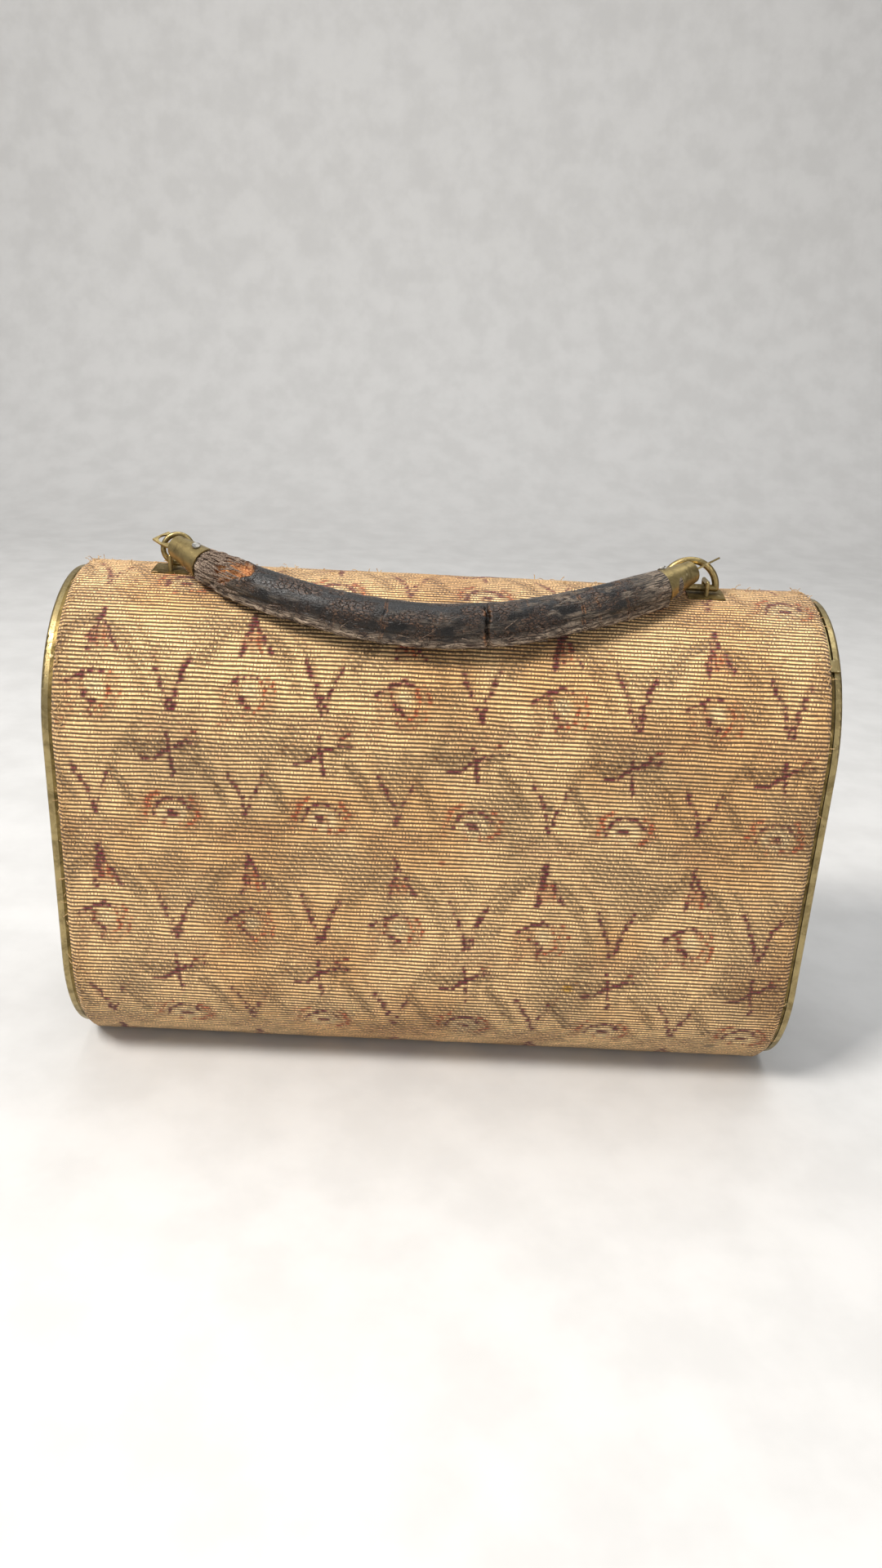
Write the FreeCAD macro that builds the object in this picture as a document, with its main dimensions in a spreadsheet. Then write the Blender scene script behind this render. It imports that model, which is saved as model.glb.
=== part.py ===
import FreeCAD, Part
import Sketcher
import math
import os

# Tapestry handbag with a rigid barrel body of flattened stadium section.
# Frame: X to the wearer's right along the barrel, Y to the back, Z up.
# Origin: middle of the flat the bag stands on. All sizes in millimetres.

doc = FreeCAD.newDocument("tapestry_bag")
V = FreeCAD.Vector

SIZES = [
    # name, value, meaning
    ("overall_width", 250.0, "over the brass rims"),
    ("section_radius", 47.0, "rounded top and bottom, outside the cloth"),
    ("base_drop", 43.0, "centre of the bottom rounding above the flat base"),
    ("base_round", 14.0, "rounding between the base and the bottom"),
    ("straight_height", 79.5, "flat part of front and back"),
    ("cloth_half_width", "=overall_width / 2 - 4.0", "middle of the bag to the cloth's edge"),
    ("cloth_thick", 1.6, "tapestry with its backing"),
    ("board_thick", 2.0, "pressed board of the barrel"),
    ("lining_thick", 0.8, "lining glued inside"),
    ("board_half_width", "=overall_width / 2 - 5.6", "middle of the bag to the board's edge"),
    ("rim_inset", 2.0, "rim bead inside the cloth surface"),
    ("strip_thick", 0.8, "clamping strip"),
    ("rim_wall", 1.2, "brass wall behind the strip"),
    ("bead_width", 3.0, "radial width of the rim bead"),
    ("bead_depth", 2.4, "bead along the barrel"),
    ("bead_round", 1.1, "rounding of the bead"),
    ("flange_thick", 1.2, "brass flange on the board's edge"),
    ("flange_reach", 6.0, "flange inward from the wall"),
    ("fit_gap", 0.05, "clearance of parts that are glued or pressed in"),
    ("panel_board", 2.2, "board of the fixed end"),
    ("panel_leather", 1.4, "leather of the fixed end"),
    ("mouth_depth", 7.4, "wooden frame inside the mouth"),
    ("lid_gap", 0.3, "between the mouth wall and the lid"),
    ("lid_lining_thick", 0.5, "lining of the lid"),
    ("lid_board_thick", 1.1, "board of the lid"),
    ("lid_leather_thick", 0.6, "leather of the lid"),
    ("pin_radius", 0.7, "rim pins"),
    ("pin_length", 3.0, "rim pins under the head"),
    ("pin_head_radius", 1.3, "rim pins"),
    ("pin_head_thick", 0.5, "rim pins"),
    ("hinge_low", 62.0, "lower end of the hinge"),
    ("hinge_long", 41.0, "length of the hinge"),
    ("knuckle_radius", 1.4, "hinge knuckles"),
    ("hinge_pin_radius", 0.65, "hinge pin"),
    ("hinge_run", 0.05, "running clearance round the hinge pin"),
    ("knuckle_gap", 0.2, "between knuckles"),
    ("leaf_thick", 0.8, "hinge leaf on the cloth"),
    ("leaf_reach", 17.0, "leaf along the barrel"),
    ("hinge_rivet_radius", 1.0, "rivets of the hinge leaf"),
    ("catch_wide", 4.2, "catch tongue along the rim"),
    ("catch_thick", 0.7, "catch tongue"),
    ("catch_angle", 45.0, "catch, from the top towards the front"),
    ("axis_back", -4.0, "handle axis behind the middle plane"),
    ("axis_rise", 1.9, "handle axis above the crest"),
    ("right_x", 79.6, "right D-ring from the middle"),
    ("left_x", 89.0, "left staple from the middle"),
    ("d_ring_radius", 8.85, "right D-ring, middle of the wire"),
    ("d_ring_wire", 1.15, "right D-ring, wire radius"),
    ("staple_offset", 5.5, "right staple to the right of the D-ring's middle"),
    ("staple_shift", -2.0, "left staple to the right of the left ring's middle"),
    ("eye_rise", 7.6, "both eyes above the axis of the rings"),
    ("ring_radius", 4.7, "left ring, middle of the wire"),
    ("ring_wire", 0.9, "left ring, wire radius"),
    ("ring_turn", -15.0, "left ring turned about the upright"),
    ("staple_half", 3.1, "staples, half distance of the legs"),
    ("staple_wire", 0.75, "staples, wire radius"),
    ("staple_rise_left", 2.7, "left staple, middle of the crown above the axis"),
    ("staple_rise_right", 2.15, "right staple, middle of the crown above the axis"),
    ("seat_thick", 0.5, "saddle plates under the staples"),
    ("seat_half_depth", 5.2, "saddle plates, front to back"),
    ("seat_half_long", 6.0, "saddle plates, along the barrel"),
    ("clinch_thick", 0.8, "clinch plates inside"),
    ("clinch_half_long", 3.2, "clinch plates, along the barrel"),
    ("leg_gap", 0.05, "clearance of the legs in their holes"),
    ("grip_radius", 6.9, "grip at its middle"),
    ("grip_end_radius", 5.5, "grip at the ferrules"),
    ("end_rise_run", 24.0, "length over which the ends rise to the eyes"),
    ("grip_lift", 0.4, "grip above the cloth when it lies on it"),
    ("grip_lie_angle", 41.9, "where the grip lies, from the top to the front"),
    ("core_radius", 2.8, "cord core of the grip"),
    ("grip_inset", 0.9, "leather held back from the step inside each socket"),
    ("ferrule_mouth", 5.4, "ferrule radius at the grip"),
    ("ferrule_neck", 3.7, "ferrule radius at the neck"),
    ("ferrule_long", 14.5, "ferrule socket"),
    ("ferrule_wall", 0.55, "brass sheet"),
    ("ferrule_grip_cover", 9.0, "length of grip inside the socket"),
    ("tab_long_right", 6.8, "right tab, eye to neck"),
    ("tab_long_left", 5.4, "left tab, eye to neck"),
    ("tab_half_right", 3.8, "right tab, half width at the eye"),
    ("tab_half_left", 3.3, "left tab, half width at the eye"),
    ("hole_right", 2.8, "right tab, radius of the eye"),
    ("hole_left", 2.5, "left tab, radius of the eye"),
    ("tab_thick", 0.6, "tab of the ferrule"),
    ("rivet_radius", 0.9, "rivet of the ferrule"),
    ("rivet_head", 1.4, "rivet head"),
    ("rivet_head_thick", 0.5, "height of the rivet head"),
    ("rivet_gap", 0.02, "clearance of the rivet and of the catch on its rim"),
    ("rivet_share", 0.72, "place of the rivet along the socket, from the neck"),
    ("socket_floor", 1.0, "closed end of the socket behind the neck"),
    ("tab_root", 1.2, "tab let into the neck"),
    ("tab_root_share", 0.62, "half width of the tab's root, of the neck's radius"),
    ("tail_share", 0.9, "reach of the tab's tips past the eye, of its half width"),
    ("tail_notch_share", 0.96, "reach of the tab between its tips"),
    ("shoulder_share", 0.4, "full width kept behind the eye, of the half width"),
    ("tongue_long", 2.85, "catch tongue along the barrel"),
    ("tongue_over", 1.35, "catch tongue past the lid's inner face"),
    ("tongue_foot", 1.5, "foot of the tongue on the lid's rim, along the barrel"),
    ("tongue_foot_thick", 0.9, "foot of the tongue, radial"),
    ("stud_long", 1.0, "catch lug along the barrel"),
    ("stud_inset", 0.4, "catch lug narrower than the tongue on each side"),
    ("stud_gap", 0.12, "between the lug and the tongue"),
    ("strip_back_share", 0.5, "back end of the right strip, of the section radius"),
    ("strip_top_share", 0.62, "top end of the right strip, of the section radius"),
    ("strip_front_share", 0.64, "front limit of the right strip's upper end"),
]

TAB_FACING = {
    # Which way the flat of each ferrule's tab looks, so that its eye clears the ring.
    "left": (0.04, -0.36, 0.93),
    "right": (-0.49, 0.25, 0.83),
}
RIM_PIN_ANGLES = (0, 45, 90, 135, 180)
BASE_PIN_ANGLES = (225, 315)

sheet = doc.addObject("Spreadsheet::Sheet", "sizes")
for row, (alias, value, meaning) in enumerate(SIZES, start=1):
    sheet.set("A%d" % row, alias)
    sheet.set("B%d" % row, str(value))
    sheet.set("C%d" % row, meaning)
    sheet.setAlias("B%d" % row, alias)
doc.recompute()


def size(alias):
    """A driving dimension as a plain number."""
    return float(getattr(sheet, alias))


def value_of(expression):
    """An expression over the sheet, worked out as a plain number."""
    probe = doc.getObject("probe") or doc.addObject("App::FeaturePython", "probe")
    if not hasattr(probe, "Number"):
        probe.addProperty("App::PropertyFloat", "Number")
    probe.setExpression("Number", expression)
    probe.recompute()
    return float(probe.Number)


# Expressions that several parts share.
RADIUS = "sizes.section_radius"
LOW_CENTRE = "sizes.base_drop"
HIGH_CENTRE = "(sizes.base_drop + sizes.straight_height)"
CREST = "(sizes.base_drop + sizes.straight_height + sizes.section_radius)"
CLOTH_IN = "sizes.cloth_thick"
BOARD_IN = "(sizes.cloth_thick + sizes.board_thick)"
LINING_IN = "(sizes.cloth_thick + sizes.board_thick + sizes.lining_thick)"
STRIP_OUT = "sizes.rim_inset"
STRIP_IN = "(sizes.rim_inset + sizes.strip_thick)"
WALL_IN = "(sizes.rim_inset + sizes.strip_thick + sizes.rim_wall)"
BEAD_IN = "(sizes.rim_inset + sizes.bead_width)"
FLANGE_IN = "(sizes.rim_inset + sizes.strip_thick + sizes.rim_wall + sizes.flange_reach)"
RIM_END = "(sizes.overall_width / 2)"
BEAD_START = "(sizes.overall_width / 2 - sizes.bead_depth)"
WALL_END = "(sizes.overall_width / 2 - sizes.bead_depth - sizes.lid_gap)"
FLANGE_END = "(sizes.board_half_width + sizes.flange_thick)"
AXIS_Z = "(sizes.base_drop + sizes.straight_height + sizes.section_radius + sizes.axis_rise)"
PIN_OFFSET = "(sizes.rim_inset + sizes.strip_thick + sizes.rim_wall + sizes.flange_reach / 2)"


def add_outline(sketch, offset):
    """Closed outline of the barrel's section, moved inward by offset (an expression)."""
    inward = value_of(offset)
    radius = value_of(RADIUS) - inward
    low, high = value_of(LOW_CENTRE), value_of(HIGH_CENTRE)
    corner = size("base_round")
    reach = value_of(RADIUS) - corner
    half_flat = math.sqrt(reach ** 2 - (low - corner) ** 2)
    dip = math.atan2(low - corner, half_flat)
    up = V(0, 0, 1)

    def arc(centre_x, centre_y, arc_radius, begin, finish):
        circle = Part.Circle(V(centre_x, centre_y, 0), up, arc_radius)
        return Part.ArcOfCircle(circle, begin, finish)

    first = sketch.GeometryCount
    top, left, low_left, corner_left, flat, corner_right, low_right, right = range(
        first, first + 8)
    sketch.addGeometry(arc(0, high, radius, 0, math.pi))
    sketch.addGeometry(Part.LineSegment(V(-radius, high, 0), V(-radius, low, 0)))
    sketch.addGeometry(arc(0, low, radius, math.pi, math.pi + dip))
    sketch.addGeometry(
        arc(-half_flat, corner, corner - inward, math.pi + dip, math.pi * 1.5))
    sketch.addGeometry(Part.LineSegment(V(-half_flat, inward, 0), V(half_flat, inward, 0)))
    sketch.addGeometry(
        arc(half_flat, corner, corner - inward, -math.pi / 2, -dip))
    sketch.addGeometry(arc(0, low, radius, -dip, 0))
    sketch.addGeometry(Part.LineSegment(V(radius, low, 0), V(radius, high, 0)))
    start, end, centre, axis, origin = 1, 2, 3, -2, -1
    loop = (top, left, low_left, corner_left, flat, corner_right, low_right, right)
    for here, after in zip(loop, loop[1:] + loop[:1]):
        sketch.addConstraint(Sketcher.Constraint("Tangent", here, end, after, start))
    sketch.addConstraint(Sketcher.Constraint("PointOnObject", top, centre, axis))
    sketch.addConstraint(Sketcher.Constraint("PointOnObject", low_left, centre, axis))
    sketch.addConstraint(
        Sketcher.Constraint("Coincident", low_left, centre, low_right, centre))
    bound = (
        (Sketcher.Constraint("Radius", top, radius), "%s - (%s)" % (RADIUS, offset)),
        (Sketcher.Constraint("DistanceY", origin, 1, top, centre, high), HIGH_CENTRE),
        (Sketcher.Constraint("DistanceY", origin, 1, low_left, centre, low), LOW_CENTRE),
        (Sketcher.Constraint("Radius", corner_left, corner - inward),
         "sizes.base_round - (%s)" % offset),
        (Sketcher.Constraint("DistanceY", origin, 1, corner_left, centre, corner),
         "sizes.base_round"),
    )
    for constraint, expression in bound:
        index = sketch.addConstraint(constraint)
        sketch.setExpression("Constraints[%d]" % index, expression)


def section_sketch(body, name, offsets, along):
    """Sketch across the barrel, at the expression `along` from the body's origin."""
    sketch = body.newObject("Sketcher::SketchObject", name)
    plane = [f for f in body.Origin.OriginFeatures if f.Role == "YZ_Plane"][0]
    sketch.AttachmentSupport = (plane, [""])
    sketch.MapMode = "FlatFace"
    sketch.setExpression(".AttachmentOffset.Base.z", along)
    for offset in offsets:
        add_outline(sketch, offset)
    return sketch


def section_body(label, slices):
    """Body of slices across the barrel: (outer offset, inner offset or None, from, to)."""
    body = doc.addObject("PartDesign::Body", label)
    body.Label = label
    for number, (outer, inner, begin, finish) in enumerate(slices):
        offsets = [outer] if inner is None else [outer, inner]
        sketch = section_sketch(body, "%s_section_%d" % (label, number), offsets, begin)
        pad = body.newObject("PartDesign::Pad", "%s_pad_%d" % (label, number))
        pad.Profile = sketch
        pad.setExpression("Length", "(%s) - (%s)" % (finish, begin))
        body.Tip = pad
        doc.recompute()
    return body


def round_end(body, label, at_x, radius):
    """Round the edges of a body that lie in the plane X = at_x."""
    base = body.Tip
    names = []
    for number, edge in enumerate(base.Shape.Edges, start=1):
        box = edge.BoundBox
        if abs(box.XMin - at_x) < 1e-3 and abs(box.XMax - at_x) < 1e-3:
            names.append("Edge%d" % number)
    fillet = body.newObject("PartDesign::Fillet", label + "_round")
    fillet.Base = (base, names)
    fillet.setExpression("Radius", radius)
    body.Tip = fillet
    doc.recompute()


def pierce(body, label, plane_role, spots, radius, offset="0", depth=None):
    """Round holes at spots (pairs of expressions) in a plane of the body."""
    sketch = body.newObject("Sketcher::SketchObject", label + "_spots")
    plane = [f for f in body.Origin.OriginFeatures if f.Role == plane_role][0]
    sketch.AttachmentSupport = (plane, [""])
    sketch.MapMode = "FlatFace"
    sketch.setExpression(".AttachmentOffset.Base.z", offset)
    for across, upward in spots:
        x, y, r = value_of(across), value_of(upward), value_of(radius)
        circle = sketch.addGeometry(Part.Circle(V(x, y, 0), V(0, 0, 1), r))
        index = sketch.addConstraint(Sketcher.Constraint("Radius", circle, r))
        sketch.setExpression("Constraints[%d]" % index, radius)
        for kind, number, text in (("DistanceX", x, across), ("DistanceY", y, upward)):
            index = sketch.addConstraint(Sketcher.Constraint(kind, -1, 1, circle, 3, number))
            sketch.setExpression("Constraints[%d]" % index, text)
    pocket = body.newObject("PartDesign::Pocket", label + "_holes")
    pocket.Profile = sketch
    if depth is None:
        pocket.Type = "ThroughAll"
        pocket.Midplane = True
    else:
        pocket.setExpression("Length", depth)
    body.Tip = pocket
    doc.recompute()


nodes = []


def keep(thing, label):
    """Mark a document object as a finished sub-part."""
    thing.Label = label
    nodes.append(thing)
    return thing


def tool(kind, name, **bindings):
    """Part primitive with properties and placement bound to the sheet."""
    thing = doc.addObject("Part::" + kind, name)
    for path, expression in bindings.items():
        thing.setExpression(path.replace("__", "."), str(expression))
    return thing


def place(thing, x="0", y="0", z="0", axis=None, angle="0"):
    """Bind a placement: position by expressions, turn about an axis."""
    if axis is not None:
        thing.Placement.Rotation = FreeCAD.Rotation(V(*axis), 0.0)
        thing.setExpression("Placement.Rotation.Axis.x", str(axis[0]))
        thing.setExpression("Placement.Rotation.Axis.y", str(axis[1]))
        thing.setExpression("Placement.Rotation.Axis.z", str(axis[2]))
        thing.setExpression("Placement.Rotation.Angle", angle)
    thing.setExpression("Placement.Base.x", x)
    thing.setExpression("Placement.Base.y", y)
    thing.setExpression("Placement.Base.z", z)
    return thing


def fuse(name, shapes):
    """Fuse of several primitives."""
    joined = doc.addObject("Part::MultiFuse", name)
    joined.Shapes = shapes
    joined.Refine = True
    return joined


def cut(name, base, tools):
    """A base with one or more tools taken away."""
    tools = list(tools)
    tool_object = tools[0] if len(tools) == 1 else fuse(name + "_tools", tools)
    result = doc.addObject("Part::Cut", name)
    result.Base = base
    result.Tool = tool_object
    return result


def rim_spots():
    """Pin positions round the flange, as pairs of expressions (Y, Z)."""
    spots = []
    reach = "(%s - %s)" % (RADIUS, PIN_OFFSET)
    for angle in RIM_PIN_ANGLES:
        spots.append(("%s * cos(%d deg)" % (reach, angle),
                      "%s + %s * sin(%d deg)" % (HIGH_CENTRE, reach, angle)))
    for angle in BASE_PIN_ANGLES:
        spots.append(("%s * cos(%d deg)" % (reach, angle),
                      "%s + %s * sin(%d deg)" % (LOW_CENTRE, reach, angle)))
    return spots


LEG_SPOTS = tuple(
    (along, "sizes.axis_back %s sizes.staple_half" % sign)
    for along in ("(sizes.right_x + sizes.staple_offset)", "(sizes.staple_shift - sizes.left_x)")
    for sign in ("-", "+"))


def pierce_crest(body, label):
    """Holes for the legs of the loop and the staple, through the top only."""
    pierce(body, label + "_legs", "XY_Plane", LEG_SPOTS,
           "sizes.staple_wire + sizes.leg_gap", offset=HIGH_CENTRE, depth=RADIUS)
    body.Tip.Reversed = True
    doc.recompute()


# ---- the barrel ----------------------------------------------------------------------

def make_tapestry_cover():
    body = section_body("tapestry_cover", [
        ("0", CLOTH_IN, "-sizes.cloth_half_width", "sizes.cloth_half_width")])
    pierce_crest(body, "tapestry_cover")
    keep(body, "tapestry_cover")


def make_body_shell():
    body = section_body("body_shell", [
        (CLOTH_IN, BOARD_IN, "-sizes.board_half_width", "sizes.board_half_width")])
    pierce_crest(body, "body_shell")
    keep(body, "body_shell")


def make_lining():
    body = section_body("lining", [
        (BOARD_IN, LINING_IN, "-sizes.board_half_width + sizes.panel_board",
         "sizes.board_half_width - sizes.mouth_depth")])
    pierce_crest(body, "lining")
    keep(body, "lining")


def make_fixed_end():
    """Left end: board, lining, brass frame, clamping strip, leather and pins."""
    board = section_body("end_board_left", [
        (BOARD_IN + " + sizes.fit_gap", None, "-sizes.board_half_width",
         "-sizes.board_half_width + sizes.panel_board")])
    pierce(board, "end_board_left", "YZ_Plane", rim_spots(), "sizes.pin_radius",
           offset="-sizes.board_half_width", depth="sizes.pin_length - sizes.flange_thick")
    board.Tip.Reversed = True
    keep(board, "end_board_left")
    keep(section_body("end_lining_left", [
        (LINING_IN + " + sizes.fit_gap", None, "-sizes.board_half_width + sizes.panel_board",
         "-sizes.board_half_width + sizes.panel_board + sizes.lining_thick")]),
        "end_lining_left")
    frame = section_body("end_frame_left", [
        (STRIP_IN, FLANGE_IN, "-" + FLANGE_END, "-sizes.board_half_width"),
        (STRIP_IN, WALL_IN, "-" + BEAD_START, "-" + FLANGE_END),
        (STRIP_OUT, BEAD_IN, "-" + RIM_END, "-" + BEAD_START)])
    round_end(frame, "end_frame_left", -value_of(RIM_END), "sizes.bead_round")
    pierce(frame, "end_frame_left", "YZ_Plane", rim_spots(), "sizes.pin_radius",
           offset="-sizes.board_half_width", depth="sizes.flange_thick + 1")
    keep(frame, "end_frame_left")
    keep(section_body("clamp_strip_left", [
        (STRIP_OUT, STRIP_IN, "-" + BEAD_START,
         "-sizes.cloth_half_width - sizes.fit_gap * 4")]), "clamp_strip_left")
    leather = section_body("end_leather_left", [
        (WALL_IN + " + sizes.fit_gap", None,
         "-%s - sizes.pin_head_thick - sizes.panel_leather" % FLANGE_END,
         "-%s - sizes.pin_head_thick" % FLANGE_END)])
    keep(leather, "end_leather_left")


def make_pins(label, side):
    """Group of rim pins; side is -1 for the fixed end, +1 for the mouth."""
    parts = []
    head_side = "%d * %s" % (side, FLANGE_END)
    for number, (across, upward) in enumerate(rim_spots()):
        shank = tool("Cylinder", "%s_shank_%d" % (label, number),
                     Radius="sizes.pin_radius", Height="sizes.pin_length")
        start = head_side if side < 0 else "%s - sizes.pin_length" % head_side
        place(shank, start, across, upward, (0, 1, 0), "90 deg")
        head = tool("Cylinder", "%s_head_%d" % (label, number),
                    Radius="sizes.pin_head_radius", Height="sizes.pin_head_thick")
        start = "%s - sizes.pin_head_thick" % head_side if side < 0 else head_side
        place(head, start, across, upward, (0, 1, 0), "90 deg")
        parts.append(fuse("%s_pin_%d" % (label, number), [shank, head]))
    group = doc.addObject("Part::Compound", label)
    group.Links = parts
    keep(group, label)


# ---- the mouth and its lid -----------------------------------------------------------

def make_mouth():
    """Right end of the barrel: wooden frame, brass ring and partial clamping strip."""
    board = section_body("mouth_board_right", [
        (BOARD_IN + " + sizes.fit_gap", FLANGE_IN,
         "sizes.board_half_width - sizes.mouth_depth", "sizes.board_half_width")])
    pierce(board, "mouth_board_right", "YZ_Plane", rim_spots(), "sizes.pin_radius",
           offset="sizes.board_half_width", depth="sizes.pin_length - sizes.flange_thick")
    keep(board, "mouth_board_right")
    ring = section_body("mouth_ring_right", [
        (STRIP_IN, FLANGE_IN, "sizes.board_half_width", FLANGE_END),
        (STRIP_IN, WALL_IN, FLANGE_END, WALL_END)])
    pierce(ring, "mouth_ring_right", "YZ_Plane", rim_spots(), "sizes.pin_radius",
           offset=FLANGE_END, depth="sizes.flange_thick + 1")
    keep(ring, "mouth_ring_right")


def make_clamp_strip_right():
    """Strip from the catch down the front and round the bottom to the back."""
    whole = section_body("strip_right_whole", [
        (STRIP_OUT, STRIP_IN, "sizes.cloth_half_width + sizes.fit_gap * 4", WALL_END)])
    behind = tool("Box", "strip_right_behind", Length="20", Width="100", Height="300")
    place(behind, "sizes.cloth_half_width - 10", "sizes.section_radius * sizes.strip_back_share",
          "-10")
    above = tool("Box", "strip_right_above", Length="20", Width="200", Height="100")
    place(above, "sizes.cloth_half_width - 10", "-sizes.section_radius * sizes.strip_front_share",
          "%s + 1" % HIGH_CENTRE)
    top = tool("Box", "strip_right_top", Length="20", Width="200", Height="100")
    place(top, "sizes.cloth_half_width - 10", "-100",
          "%s + sizes.section_radius * sizes.strip_top_share" % HIGH_CENTRE)
    keep(cut("clamp_strip_right", whole, [behind, above, top]), "clamp_strip_right")


def make_lid():
    frame = section_body("lid_frame", [(STRIP_OUT, BEAD_IN, BEAD_START, RIM_END)])
    round_end(frame, "lid_frame", value_of(RIM_END), "sizes.bead_round")
    keep(frame, "lid_frame")
    edge = BEAD_IN + " + sizes.fit_gap"
    lining_end = "(%s + sizes.lid_lining_thick)" % BEAD_START
    board_end = "(%s + sizes.lid_lining_thick + sizes.lid_board_thick)" % BEAD_START
    keep(section_body("lid_lining", [(edge, None, BEAD_START, lining_end)]), "lid_lining")
    keep(section_body("lid_board", [(edge, None, lining_end, board_end)]), "lid_board")
    keep(section_body("lid_leather", [
        (edge, None, board_end, board_end + " + sizes.lid_leather_thick")]), "lid_leather")


HINGE_X = "(%s + %s) / 2" % (WALL_END, BEAD_START)
HINGE_Y = "(sizes.section_radius + sizes.leaf_thick + sizes.knuckle_radius * 0.8)"
KNUCKLE = "(sizes.hinge_long / 4)"


def knuckle(name, low, long):
    """Solid knuckle between two heights."""
    part = tool("Cylinder", name, Radius="sizes.knuckle_radius", Height=long)
    return place(part, HINGE_X, HINGE_Y, low)


def hinge_bore(name):
    """Space for the hinge pin."""
    part = tool("Cylinder", name, Radius="sizes.hinge_pin_radius + sizes.hinge_run",
                Height="sizes.hinge_long + 4")
    return place(part, HINGE_X, HINGE_Y, "sizes.hinge_low - 2")


def make_hinge():
    """Strap hinge on the back edge: fixed leaf, lid leaf, pin and rivets."""
    middle_low = "sizes.hinge_low + %s" % KNUCKLE
    upper_low = "sizes.hinge_low + %s * 3" % KNUCKLE
    plate = tool("Box", "leaf_fixed_plate", Length="sizes.leaf_reach",
                 Width="sizes.leaf_thick", Height="sizes.hinge_long")
    place(plate, "%s - sizes.leaf_reach - sizes.knuckle_radius" % HINGE_X,
          "sizes.section_radius", "sizes.hinge_low")
    webs = []
    spans = (("sizes.hinge_low", "%s - sizes.knuckle_gap" % KNUCKLE),
             (upper_low, KNUCKLE))
    for number, (low, long) in enumerate(spans):
        webs.append(knuckle("leaf_fixed_knuckle_%d" % number, low, long))
        web = tool("Box", "leaf_fixed_web_%d" % number, Length="sizes.knuckle_radius * 1.5",
                   Width="sizes.leaf_thick", Height=long)
        webs.append(place(web, "%s - sizes.knuckle_radius * 1.5" % HINGE_X,
                          "sizes.section_radius", low))
    rivet_spots = ("sizes.hinge_low + sizes.hinge_long * 0.2",
                   "sizes.hinge_low + sizes.hinge_long * 0.8")
    rivet_x = "%s - sizes.leaf_reach * 0.65" % HINGE_X
    holes = [hinge_bore("leaf_fixed_bore")]
    rivets = []
    for number, upward in enumerate(rivet_spots):
        hole = tool("Cylinder", "leaf_hole_%d" % number, Radius="sizes.hinge_rivet_radius",
                    Height="sizes.leaf_thick * 3")
        place(hole, rivet_x, "sizes.section_radius + sizes.leaf_thick * 2", upward,
              (1, 0, 0), "90 deg")
        holes.append(hole)
        shank = tool("Cylinder", "hinge_rivet_shank_%d" % number,
                     Radius="sizes.hinge_rivet_radius", Height="sizes.leaf_thick")
        place(shank, rivet_x, "sizes.section_radius + sizes.leaf_thick", upward,
              (1, 0, 0), "90 deg")
        dome = tool("Sphere", "hinge_rivet_dome_%d" % number,
                    Radius="sizes.hinge_rivet_radius * 1.7", Angle1="0")
        place(dome, rivet_x, "sizes.section_radius + sizes.leaf_thick", upward,
              (1, 0, 0), "-90 deg")
        rivets.append(fuse("hinge_rivet_%d" % number, [shank, dome]))
    keep(cut("hinge_leaf_fixed", fuse("leaf_fixed_body", [plate] + webs), holes),
         "hinge_leaf_fixed")
    group = doc.addObject("Part::Compound", "hinge_rivets")
    group.Links = rivets
    keep(group, "hinge_rivets")

    lug_long = "%s * 2 - sizes.knuckle_gap" % KNUCKLE
    barrel = knuckle("leaf_lid_knuckle", middle_low, lug_long)
    lug = tool("Box", "leaf_lid_lug", Length="%s - %s" % (RIM_END, BEAD_START),
               Width="%s - sizes.section_radius + sizes.rim_inset" % HINGE_Y,
               Height=lug_long)
    place(lug, BEAD_START, "sizes.section_radius - sizes.rim_inset", middle_low)
    keep(cut("hinge_leaf_lid", fuse("leaf_lid_body", [barrel, lug]),
             [hinge_bore("leaf_lid_bore")]), "hinge_leaf_lid")
    pin = tool("Cylinder", "hinge_pin", Radius="sizes.hinge_pin_radius",
               Height="sizes.hinge_long + 1")
    keep(place(pin, HINGE_X, HINGE_Y, "sizes.hinge_low - 0.5"), "hinge_pin")


def turn_to_catch(shape):
    """A shape drawn at the crest of a rounding at the origin, carried to the catch."""
    shape.rotate(V(0, 0, 0), V(1, 0, 0), size("catch_angle"))
    shape.translate(V(0, 0, value_of(HIGH_CENTRE)))
    return shape


def make_catch():
    """Spring tongue on the lid and the lug it snaps over on the mouth ring."""
    half = size("catch_wide") / 2
    inner = value_of(RADIUS) - value_of(STRIP_OUT) + size("rivet_gap")
    wall = value_of(RADIUS) - value_of(STRIP_IN)
    tongue = Part.makeBox(size("tongue_long"), 2 * half, size("catch_thick"),
                          V(value_of(BEAD_START) - size("tongue_over"), -half, inner))
    foot_thick = size("tongue_foot_thick")
    foot = Part.makeBox(size("tongue_foot"), 2 * half, foot_thick,
                        V(value_of(BEAD_START), -half, inner - foot_thick))
    rim = doc.getObject("lid_frame").Shape
    tab = doc.addObject("Part::Feature", "catch_tab")
    tab.Shape = turn_to_catch(tongue).fuse(turn_to_catch(foot)).cut(rim).removeSplitter()
    keep(tab, "catch_tab")
    inset, long = size("stud_inset"), size("stud_long")
    low = wall - size("rivet_gap")
    lug = Part.makeBox(long, 2 * (half - inset), inner - size("stud_gap") - low,
                       V(value_of(WALL_END) - long, inset - half, low))
    stud = doc.addObject("Part::Feature", "catch_stud")
    stud.Shape = turn_to_catch(lug).cut(doc.getObject("mouth_ring_right").Shape)
    keep(stud, "catch_stud")


# ---- staples and rings ---------------------------------------------------------------

LEG_FOOT = "(%s - %s - sizes.clinch_thick - 1.4)" % (CREST, LINING_IN)


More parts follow.
